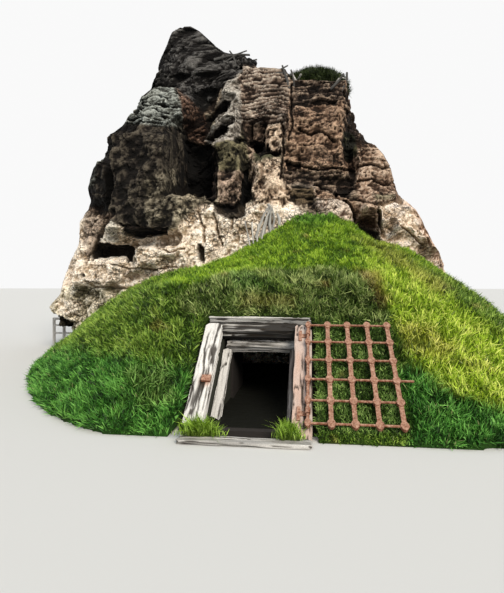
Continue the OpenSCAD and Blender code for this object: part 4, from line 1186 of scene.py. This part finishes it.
class TURFHOUSE_OT_turf(bpy.types.Operator):
    """Builds the turf's lumpy surface under the grass"""
    bl_idname = "turfhouse.turf"
    bl_label = "Turf"

    def execute(self, context):
        settings = context.scene.turf_settings
        piece = joined_copy("turf_sward", TURF_NODES)
        remesh(piece, settings.voxel)
        points, normals = points_of(piece), normals_of(piece)
        lumps = layered(points, 0.42, 5) * settings.lump
        doorway = near_doorway(points)
        calm = np.maximum(under_gate(points), doorway)
        lumps = np.where(calm > 0, np.minimum(lumps, 0.0) * (1 - calm), lumps)
        lumps -= settings.sunk * (1 - doorway)
        lumps *= step(0.05, 0.25, points[:, 2]) * step(0.0, 0.4, normals[:, 2])
        moved = points + normals * lumps[:, None]
        moved[:, 2] = np.maximum(moved[:, 2], 0.0)
        set_points(piece, moved)
        tint = mixed_tint(turf_kinds(moved), GRASS_KINDS, 0.2 + 0.2 * layered(moved, 0.2, 33))
        set_tint(piece, 0.45 * tint + 0.55 * np.asarray(settings.soil))
        finish_piece(piece, material_of("soil"), TURF_NODES)
        return {"FINISHED"}


class TURFHOUSE_OT_grass(bpy.types.Operator):
    """Sows the grass on the turf, in parts by where it grows"""
    bl_idname = "turfhouse.grass"
    bl_label = "Grass"

    def execute(self, context):
        settings = context.scene.turf_settings
        sward = bpy.data.objects["turf_sward"]
        rng = np.random.default_rng(7)
        gate_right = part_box("gate_uprights")[1].x
        door_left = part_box("lintel")[0].x
        parts = (
            ("grass_left", lambda p: p[:, 0] < door_left),
            ("grass_middle", lambda p: (p[:, 0] >= door_left) & (p[:, 0] < gate_right)),
            ("grass_right", lambda p: p[:, 0] >= gate_right))
        for name, inside in parts:
            place, normal = scatter(sward, settings.blades, sown(inside), rng)
            shares = turf_kinds(place)
            clump, _, _ = broken(place, 0.15, 61)
            uneven = (0.8 + 0.45 * (clump - 0.5) + 0.4 * layered(place, 0.5, 13)
                      + 0.22 * rng.normal(size=len(place)))
            length = settings.blade_length * np.clip(
                mixed(shares, GRASS_KINDS, GRASS_GROWTH) * uneven, 0.35, 2.2)
            length = np.where(under_gate(place) > 0.1, np.minimum(length, settings.under_gate), length)
            width = settings.blade_width * rng.uniform(0.6, 1.2, len(place))
            tone = (0.5 + 0.6 * (clump - 0.5) + 0.45 * layered(place, 0.22, 35)
                    + 0.28 * rng.normal(size=len(place)))
            tint = mixed_tint(shares, GRASS_KINDS, tone)
            # Two blades in a hundred of every other clump are herbs
            herb = (rng.random(len(place)) < 0.02) & (clump > 0.5)
            tint[herb] = settings.herb
            piece = grow(name, place, normal, length, width, tint, rng)
            finish_piece(piece, material_of("grass"))
        return {"FINISHED"}


class TURFHOUSE_OT_tufts(bpy.types.Operator):
    """Grows the long tufts at the feet of the doorway's posts"""
    bl_idname = "turfhouse.tufts"
    bl_label = "Tufts at the doorway"

    def execute(self, context):
        rng = np.random.default_rng(19)
        left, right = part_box("left_inner_post"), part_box("right_inner_post")
        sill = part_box("threshold_board")
        # Each tuft's middle along the threshold, its spread and its number of blades
        tufts = ((left[0].x + 0.02, 0.10, 1000), (right[1].x - 0.06, 0.055, 600))
        places, lengths = [], []
        for x, spread, count in tufts:
            aside, behind = rng.normal(size=(2, count))
            places.append(np.column_stack([
                x + spread * aside, sill[1].y - 0.06 + 0.05 * np.abs(behind), np.full(count, 0.05)]))
            lengths.append(np.clip(1.1 - 0.3 * np.abs(aside), 0.4, 1))
        place = np.concatenate(places)
        length = TUFT_LENGTH * np.concatenate(lengths) * rng.uniform(0.45, 1.1, len(place))
        width = TUFT_WIDTH * rng.uniform(0.6, 1.2, len(place))
        shares = shares_of(GRASS_KINDS, len(place))
        shares["bright"] += 0.45
        shares["deep"] += 0.55
        tint = mixed_tint(shares, GRASS_KINDS, 0.5 + 0.3 * rng.normal(size=len(place)))
        normal = np.tile((0.0, -0.1, 1.0), (len(place), 1))
        piece = grow("doorway_tufts", place, normal, length, width, tint, rng, 0.15, (0, -0.08, 0.8))
        # Blades that would stand where the closed gate comes to lie are shortened, step by step. The
        # gate lies above its low end and out of its back, both in its own plane.
        blades = points_of(piece).reshape(-1, 4, 3)
        gate_low = (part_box("gate_uprights")[0].z - HINGE_FOOT[2]) / SLOPE_UP[2]
        gate_back = -0.045
        for _ in range(14):
            _, up, out = gate_place(blades.reshape(-1, 3))
            over = ((up > gate_low) & (out > gate_back)).reshape(-1, 4).any(1)
            blades[over] = blades[over, :1] + 0.86 * (blades[over] - blades[over, :1])
        set_points(piece, blades.reshape(-1, 3))
        finish_piece(piece, material_of("grass"))
        return {"FINISHED"}


class TURFHOUSE_OT_crown(bpy.types.Operator):
    """Builds the tuft of dark grass on the crag's crown"""
    bl_idname = "turfhouse.crown"
    bl_label = "Crown grass"

    def execute(self, context):
        settings = context.scene.turf_settings
        piece = joined_copy("crown_sod", ("crown_turf",))
        remesh(piece, CROWN_VOXEL)
        points, normals = points_of(piece), normals_of(piece)
        lumps = layered(points, 0.2, 15) * 0.03 * step(0.0, 0.3, normals[:, 2])
        # The sod has spread, and sunk into the broken rock
        middle = points[:, 0].mean()
        points[:, 0] += 0.3 * (points[:, 0] - middle)
        set_points(piece, points + normals * lumps[:, None] + (-0.10, 0, -CROWN_SOD_SUNK))
        set_tint(piece, np.tile(0.6 * np.asarray(settings.soil), (len(points), 1)))
        rng = np.random.default_rng(11)
        place, normal = scatter(
            piece, CROWN_BLADES, lambda centre, normal: step(-0.1, 0.2, normal[:, 2]), rng)
        apply_modifier(piece, "DECIMATE", ratio=0.3)
        finish_piece(piece, material_of("soil"), ("crown_turf",))
        length = CROWN_LENGTH * rng.uniform(0.4, 1.3, len(place))
        width = CROWN_WIDTH * rng.uniform(0.6, 1.2, len(place))
        shares = shares_of(GRASS_KINDS, len(place))
        shares["dull"] += 1.0
        tint = 0.3 * mixed_tint(shares, GRASS_KINDS, 0.3 + 0.25 * rng.normal(size=len(place)))
        blades = grow("crown_grass", place, normal, length, width, tint, rng, 0.5)
        finish_piece(blades, material_of("grass"))
        return {"FINISHED"}


# The timber doorway

# Way of the grain, slot, rust stain, how dark it is painted, and how uneven its faces are. The dark is
# partly weathering and partly painted shade, most on the lintel under the turf and on the timbers inside the
# doorway
SLOPE_TIMBERS = {
    "left_post": ("up", "weathered_timber", 0.0, 0.0, 0.4),
    "right_post": ("up", "stained_timber", 0.62, 0.0, 0.3),
    "lintel": ("across", "weathered_timber", 0.0, 1.3, 0.6),
    "cap_board": ("across", "pale_timber", 0.0, 0.1, 0.4),
    "left_inner_post": ("up", "weathered_timber", 0.0, 0.1, 0.5),
    "right_inner_post": ("up", "weathered_timber", 0.4, 0.55, 0.4),
    "inner_log": ("across", "weathered_timber", 0.0, 0.5, 1.3),
    "threshold_board": ("across", "pale_timber", 0.0, 0.35, 0.5),
}


def timber_marks(grain, long_axis, seed):
    """The patterns that both a timber's shape and its colour follow."""
    def lengthwise(width, length):
        """A pattern's size: its width across the grain and its length along it."""
        size = np.full(3, width)
        size[long_axis] = length
        return size

    bent = grain.copy()
    bent[:, 1 - long_axis] += 0.014 * smooth(grain, 0.4, seed + 1)
    # Splits and finer drying checks run along the lines where a noise is near nothing
    split = 1 - step(0.0, 0.10, np.abs(smooth(bent, lengthwise(0.085, 1.2), seed + 7)))
    check = 1 - step(0.0, 0.14, np.abs(smooth(bent, lengthwise(0.03, 0.5), seed + 11)))
    worm, _, middle = broken(bent / lengthwise(1.0, 2.2), 0.06, seed + 20)
    return {
        "fibre": layered(bent, lengthwise(0.022, 0.3), seed),
        "streak": layered(bent, lengthwise(0.045, 0.7), seed + 3),
        "split": split * step(-0.2, 0.4, smooth(grain, 0.45, seed + 9)),
        "check": check * step(0.0, 0.4, smooth(grain, 0.25, seed + 12)),
        "knot": step(0.34, 0.16, middle) * step(0.72, 0.78, worm),
        "dent": step(-0.3, 0.8, layered(grain, lengthwise(0.14, 0.3), seed + 30)),
        "soft": 0.5 + 0.5 * smooth(bent, lengthwise(0.03, 3.0), seed + 40),
        "patchy": layered(grain, lengthwise(0.12, 0.35), seed + 50),
    }


def rotted_back(node, grain, long_axis, marks, settings):
    """How far a timber's ends move along it: they rot back more in the softer wood between fibres."""
    run = grain[:, long_axis]
    back = settings.ragged * marks["soft"]
    low_end = 1 - step(0.0, 0.12, run - run.min())
    high_end = 1 - step(0.0, 0.12, run.max() - run)
    if node == "left_post":
        # Its foot is broken off aslant on the far side, and its head is whole
        share = (grain[:, 0].max() - grain[:, 0]) / np.ptp(grain[:, 0])
        back = back + 0.20 * share
        low_end = 1 - step(0.0, 0.45, run - run.min())
        high_end = 0 * high_end
    return (low_end - high_end) * back


def timber_tint(node, points, marks, stain, dark, settings):
    """A timber's colours: silvered, stained by the iron, darkened by weathering and by painted shade, and
    dark in the grain and in splits.
    """
    fibre, streak, patchy = marks["fibre"], marks["streak"], marks["patchy"]
    tint = np.tile(settings.silver, (len(points), 1))
    tint = paint(tint, settings.stain, np.clip(stain * (0.85 + 0.6 * patchy), 0, 1))
    if node == "left_post":
        # Rust has run from the latch plate
        low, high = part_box("latch_plate")
        centre = np.array(((low.x + high.x) / 2, (low.y + high.y) / 2, (low.z + high.z) / 2))
        near = np.linalg.norm((points - centre) * (1.4, 1.0, 1.0), axis=1)
        tint = paint(tint, settings.stain, 0.8 * step(0.16, 0.06, near + 0.03 * patchy))
    # Streaky near-black dark by the dark column: weathering, and painted shade on the lintel and the timbers
    # inside the doorway
    tint = paint(tint, 0.2 * np.asarray(settings.shade),
                 np.clip(dark * (1.0 + 0.8 * patchy + 1.6 * streak), 0, 0.97))
    tint = paint(tint, settings.shade, 0.92 * step(0.13, 0.4, -fibre - 0.6 * streak))
    cracked = marks["split"] + 0.85 * marks["check"] + 0.9 * marks["knot"]
    tint = paint(tint, settings.shade, np.clip(cracked, 0, 0.97))
    return tint * np.clip(1 + 0.25 * patchy, 0.5, 1.3)[:, None]


def weather(node, along, stain, dark, uneven, settings, seed):
    """A timber with weathered grain, splits, knots and ragged ends, from its CAD node."""
    piece = joined_copy("old_" + node, (node,))
    remesh(piece, settings.voxel)
    points, normals = points_of(piece), normals_of(piece)
    grain = np.stack(gate_place(points), 1)
    long_axis = 1 if along == "up" else 0
    way = SLOPE_UP if along == "up" else np.array((1.0, 0.0, 0.0))
    marks = timber_marks(grain, long_axis, seed)
    depth = (settings.groove * (marks["fibre"] - 0.5) - settings.split * marks["split"]
             - 0.4 * settings.split * marks["check"])
    depth -= 0.012 * marks["knot"] + 0.014 * uneven * marks["dent"]
    moved = points + normals * depth[:, None]
    moved += way * rotted_back(node, grain, long_axis, marks, settings)[:, None]
    moved[:, 2] = np.maximum(moved[:, 2], 0.001)
    set_points(piece, moved)
    set_tint(piece, timber_tint(node, points, marks, stain, dark, settings))
    return piece


class TURFHOUSE_OT_doorway(bpy.types.Operator):
    """Builds the weathered timbers of the doorway"""
    bl_idname = "turfhouse.doorway"
    bl_label = "Doorway timbers"

    def execute(self, context):
        settings = context.scene.timber_settings
        for i, (node, (along, slot, stain, dark, uneven)) in enumerate(SLOPE_TIMBERS.items(), 1):
            piece = weather(node, along, stain, dark, uneven, settings, 100 * i)
            # The faces between the grooves and splits need fewer points
            apply_modifier(piece, "DECIMATE", ratio=0.55)
            finish_piece(piece, material_of("timber"), (node,))
        return {"FINISHED"}


# Spacing of the points on the thin poles, and how far those on the crown have sunk with its sod
POLE_VOXEL = 0.014
CROWN_POLES_SUNK = 0.12

# Foot and head of each stick in the photograph's frame, and half its thickness at the foot: first
# those that lean on the rock above the doorway, then those that lie on the crag's ridge
LEANING_STICKS = (
    ((255.5, 232.5), (270.0, 205.0), 0.034), ((259.5, 232.5), (271.5, 207.0), 0.028),
    ((263.0, 230.5), (269.5, 206.0), 0.038), ((266.5, 229.5), (272.5, 208.0), 0.026),
    ((270.5, 228.0), (271.0, 206.5), 0.034), ((279.0, 223.5), (268.0, 204.0), 0.036),
    ((275.0, 226.0), (266.0, 209.0), 0.024))
RIDGE_STICKS = (
    ((206, 47), (233, 58), 0.03), ((214, 55), (250, 55), 0.035), ((222, 60), (247, 51), 0.025),
    ((229, 61), (257, 60), 0.03), ((236, 62), (230, 51), 0.025), ((262, 71), (288, 66), 0.03),
    ((272, 70), (291, 76), 0.03), ((289, 84), (282, 66), 0.035), ((330, 84), (344, 74), 0.03),
    ((341, 86), (347, 73), 0.035), ((294, 86), (291, 70), 0.03))


class TURFHOUSE_OT_loose_timber(bpy.types.Operator):
    """Gives the poles and the framing on the rock their old timber"""
    bl_idname = "turfhouse.loose_timber"
    bl_label = "Poles and framing"

    def execute(self, context):
        settings = context.scene.timber_settings
        for i, node in enumerate(("foot_framing", "leaning_poles", "crown_poles")):
            piece = joined_copy("old_" + node, (node,))
            remesh(piece, POLE_VOXEL)
            points, normals = points_of(piece), normals_of(piece)
            fibre = layered(points, (0.03, 0.03, 0.4), 300 + i)
            sunk = CROWN_POLES_SUNK if node == "crown_poles" else 0.0
            set_points(piece, points + normals * (0.004 * (fibre - 0.5))[:, None] - (0, 0, sunk))
            tint = np.tile(settings.silver, (len(points), 1))
            tint = paint(tint, settings.shade, np.clip(0.35 - 0.6 * fibre, 0, 0.85))
            set_tint(piece, tint)
            finish_piece(piece, material_of("timber"), (node,))
        return {"FINISHED"}


def struck(trees, u, v):
    """Where a line of sight through a place in the photograph's frame first meets a surface."""
    stage = bpy.context.scene.stage_settings
    turn = stage.heading
    ahead = Vector((-math.sin(turn), math.cos(turn), 0)) * stage.focal
    across = Vector((math.cos(turn), math.sin(turn), 0)) * (u - PHOTO_W / 2)
    way = (ahead + across + Vector((0, 0, stage.horizon - v))).normalized()
    hits = [tree.ray_cast(Vector(stage.eye), way) for tree in trees]
    return min((hit for hit in hits if hit[0] is not None), key=lambda hit: hit[3], default=(None,))[0]


def resting(trees, u, v, above):
    """A place on a surface, or above the first surface below it where there is only sky."""
    stage = bpy.context.scene.stage_settings
    # The search goes down the frame by 2 pixels at a time
    for drop in range(0, 40, 2):
        hit = struck(trees, u, v + drop)
        if hit is not None:
            far = seen_at(np.array([hit]))[2][0]
            return np.array(hit) + (0, 0, above * drop * far / stage.focal)
    raise RuntimeError("a stick has nothing to rest on")


def dry_stick(foot, head, thick, number, rng):
    """A stick between two places: a thin cone, knobbly and a little bent, each by its number."""
    deselect()
    bpy.ops.mesh.primitive_cone_add(vertices=8, radius1=thick, radius2=0.6 * thick, depth=1.0)
    stick = bpy.context.object
    bpy.ops.object.mode_set(mode="EDIT")
    bpy.ops.mesh.subdivide(number_cuts=2)
    bpy.ops.object.mode_set(mode="OBJECT")
    local = points_of(stick)
    way = head - foot
    side = np.cross(way, (0.0, 1.0, 0.0))
    side /= np.linalg.norm(side)
    out = np.cross(side, way / np.linalg.norm(way))
    along = local[:, 2] + 0.5
    knobbly = 1 + 0.3 * smooth(local * (20, 20, 6) + 10 * number, 1.0, 9)
    bend = 0.05 * rng.normal() * np.sin(along * math.pi) + 0.012 * smooth(local + number, 0.2, 4)
    points = (foot + along[:, None] * way + (local[:, :1] * knobbly[:, None] + bend[:, None]) * side
              + local[:, 1:2] * knobbly[:, None] * out)
    set_points(stick, points)
    return stick


class TURFHOUSE_OT_sticks(bpy.types.Operator):
    """Leans dry sticks against the rock above the doorway, and lays more on the crag's ridge"""
    bl_idname = "turfhouse.sticks"
    bl_label = "Sticks against the rock"

    def execute(self, context):
        settings = context.scene.timber_settings
        seen = context.evaluated_depsgraph_get()
        trees = [BVHTree.FromObject(bpy.data.objects[name], seen)
                 for name in ("turf_sward", "crag_left", "crag_centre", "crag_right")]
        rng = np.random.default_rng(23)
        parts = []
        for i, (foot_at, head_at, thick) in enumerate(LEANING_STICKS + RIDGE_STICKS):
            # Each foot is pushed a little into the ground, and each head lies before the rock
            foot = resting(trees, *foot_at, 0.0) - (0, 0, 0.12)
            head = resting(trees, *head_at, 1.0) - (0, 0.5 * thick, 0)
            parts.append(dry_stick(foot, head, thick, i, rng))
        piece = joined("leaning_sticks", parts)
        points = points_of(piece)
        fibre = layered(points, (0.03, 0.03, 0.2), 61)
        tint = np.tile(settings.silver, (len(points), 1))
        tint = paint(tint, settings.shade, np.clip(0.3 - 0.7 * fibre, 0, 0.9))
        # All are darkened a little, and those on the ridge much more
        ridge = step(4.0, 5.0, points[:, 2])
        set_tint(piece, tint * (0.7 - 0.58 * ridge)[:, None])
        finish_piece(piece, material_of("timber"))
        return {"FINISHED"}


# The earth floor

# Spacing of the points on the earth
EARTH_VOXEL = 0.018


class TURFHOUSE_OT_floor_earth(bpy.types.Operator):
    """Builds the trodden earth inside the doorway"""
    bl_idname = "turfhouse.floor_earth"
    bl_label = "Earth floor"

    def execute(self, context):
        settings = context.scene.turf_settings
        piece = joined_copy("trodden_earth", ("earth_floor",))
        remesh(piece, EARTH_VOXEL)
        points, normals = points_of(piece), normals_of(piece)
        # The earth is banked up to the boards at the sides of the passage and of the room
        in_passage = points[:, 1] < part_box("passage_linings")[1].y
        for part, spread in ((in_passage, 0.15), (~in_passage, 0.04)):
            x = points[part, 0]
            left, right = step(x.min() + 0.08, x.min(), x), step(x.max() - 0.08, x.max(), x)
            points[part, 0] += spread * (right - left)
            points[part, 2] += 0.04 * (left + right) * step(0.3, 0.9, normals[part, 2]) * (
                1 + 0.6 * smooth(points[part], 0.15, 8))
        points[:, 2] += 0.01 * (1 + layered(points, 0.16, 5)) * step(0.3, 0.9, normals[:, 2])
        set_points(piece, points)
        # Painted shade: the earth inside the doorway is coloured nearly black for the unlit passage and room
        set_tint(piece, np.tile(0.2 * np.asarray(settings.soil), (len(points), 1)))
        apply_modifier(piece, "DECIMATE", ratio=0.2)
        finish_piece(piece, material_of("soil"), ("earth_floor",))
        return {"FINISHED"}


# What keeps its CAD shape

KEPT = {
    "boards": ("passage_linings", "passage_roof", "chamber_roof_boards", "chamber_rafters", "inner_sill"),
    "earth": ("doorway_cheeks",),
    "iron": ("latch_plate", "hinge_irons", "gate_uprights", "gate_crossbars", "gate_latch_bar"),
}


class TURFHOUSE_OT_kept(bpy.types.Operator):
    """Gives the nodes whose shape is right their finish"""
    bl_idname = "turfhouse.kept"
    bl_label = "Boards, earth and iron"

    def execute(self, context):
        for finish, nodes in KEPT.items():
            for node in nodes:
                mesh = frame["nodes"][node].data
                mesh.materials.clear()
                mesh.materials.append(material_of(finish))
        return {"FINISHED"}


# Camera, floor and lights

class TURFHOUSE_OT_stage(bpy.types.Operator):
    """Sets up the camera, the pale floor and soft light"""
    bl_idname = "turfhouse.stage"
    bl_label = "Stage"

    def execute(self, context):
        settings = context.scene.stage_settings
        scene = context.scene
        deselect()
        bpy.ops.object.camera_add(
            location=settings.eye, rotation=(math.radians(90), 0, settings.heading))
        camera = context.object
        # The sensor's 36 mm span the photograph's longer side
        camera.data.sensor_width = 36
        camera.data.lens = 36 * settings.focal / PHOTO_H
        camera.data.shift_y = (settings.horizon - PHOTO_H / 2) / PHOTO_H
        camera.data.clip_end = 500
        scene.camera = camera
        self.floor(settings)
        self.lights()
        scene.view_settings.view_transform = "Standard"
        return {"FINISHED"}

    def floor(self, settings):
        """A plain pale floor that reaches past the frame."""
        deselect()
        bpy.ops.mesh.primitive_plane_add(size=400, location=(0, 0, -0.002))
        floor = bpy.context.object
        floor.name = "floor"
        bpy.ops.object.transform_apply(location=True, rotation=True, scale=True)
        material, shader = new_material("plain_floor")
        shader.inputs["Base Color"].default_value = (*settings.floor, 1)
        shader.inputs["Roughness"].default_value = 1.0
        floor.data.materials.append(material)

    def lights(self):
        """A pale sky, which shows as white behind the house, and one soft lamp."""
        world = bpy.data.worlds.new("pale_sky")
        bpy.context.scene.world = world
        world.use_nodes = True
        background = world.node_tree.nodes["Background"]
        background.inputs["Color"].default_value = (*linear("#e6edf5"), 1)
        background.inputs["Strength"].default_value = 0.75
        white = add(world, "ShaderNodeBackground", {"Color": (1, 1, 1, 1), "Strength": 0.95})
        rays = add(world, "ShaderNodeLightPath")
        seen = add(world, "ShaderNodeMath", {
            0: rays.outputs["Is Camera Ray"], 1: rays.outputs["Is Glossy Ray"]}, operation="MAXIMUM")
        mix = add(world, "ShaderNodeMixShader", {
            "Fac": seen.outputs["Value"], 1: background.outputs["Background"],
            2: white.outputs["Background"]})
        output = world.node_tree.nodes["World Output"]
        world.node_tree.links.new(mix.outputs["Shader"], output.inputs["Surface"])
        deselect()
        bpy.ops.object.light_add(
            type="SUN", rotation=(math.radians(54), math.radians(12), math.radians(24)))
        sun = bpy.context.object
        sun.name = "soft_key"
        sun.data.energy = 2.7
        sun.data.angle = math.radians(25)
        sun.data.color = linear("#fff4e4")


GROUPS = {
    "crag_settings": CragSettings,
    "turf_settings": TurfSettings,
    "timber_settings": TimberSettings,
    "iron_settings": IronSettings,
    "stage_settings": StageSettings,
}

STEPS = (
    TURFHOUSE_OT_stage, TURFHOUSE_OT_crag, TURFHOUSE_OT_turf, TURFHOUSE_OT_grass, TURFHOUSE_OT_tufts,
    TURFHOUSE_OT_crown, TURFHOUSE_OT_doorway, TURFHOUSE_OT_loose_timber, TURFHOUSE_OT_sticks,
    TURFHOUSE_OT_floor_earth, TURFHOUSE_OT_kept)


class TURFHOUSE_PT_panel(bpy.types.Panel):
    """Lists the steps and the settings"""
    bl_label = "Turf house"
    bl_idname = "TURFHOUSE_PT_panel"
    bl_space_type = "VIEW_3D"
    bl_region_type = "UI"
    bl_category = "Turf house"

    def draw(self, context):
        for step_class in STEPS:
            self.layout.operator(step_class.bl_idname)
        for key, group in GROUPS.items():
            box = self.layout.box()
            box.label(text=group.__doc__)
            for prop in group.__annotations__:
                box.prop(getattr(context.scene, key), prop)


def register():
    for key, group in GROUPS.items():
        bpy.utils.register_class(group)
        setattr(bpy.types.Scene, key, PointerProperty(type=group))
    for step_class in STEPS:
        bpy.utils.register_class(step_class)
    bpy.utils.register_class(TURFHOUSE_PT_panel)


def unregister():
    bpy.utils.unregister_class(TURFHOUSE_PT_panel)
    for step_class in reversed(STEPS):
        bpy.utils.unregister_class(step_class)
    for key, group in reversed(GROUPS.items()):
        delattr(bpy.types.Scene, key)
        bpy.utils.unregister_class(group)


def main():
    register()
    bpy.ops.turfhouse.stage()
    bpy.ops.turfhouse.crag()
    bpy.ops.turfhouse.turf()
    bpy.ops.turfhouse.grass()
    bpy.ops.turfhouse.tufts()
    bpy.ops.turfhouse.crown()
    bpy.ops.turfhouse.doorway()
    bpy.ops.turfhouse.loose_timber()
    bpy.ops.turfhouse.sticks()
    bpy.ops.turfhouse.floor_earth()
    bpy.ops.turfhouse.kept()


if __name__ == "__main__":
    main()
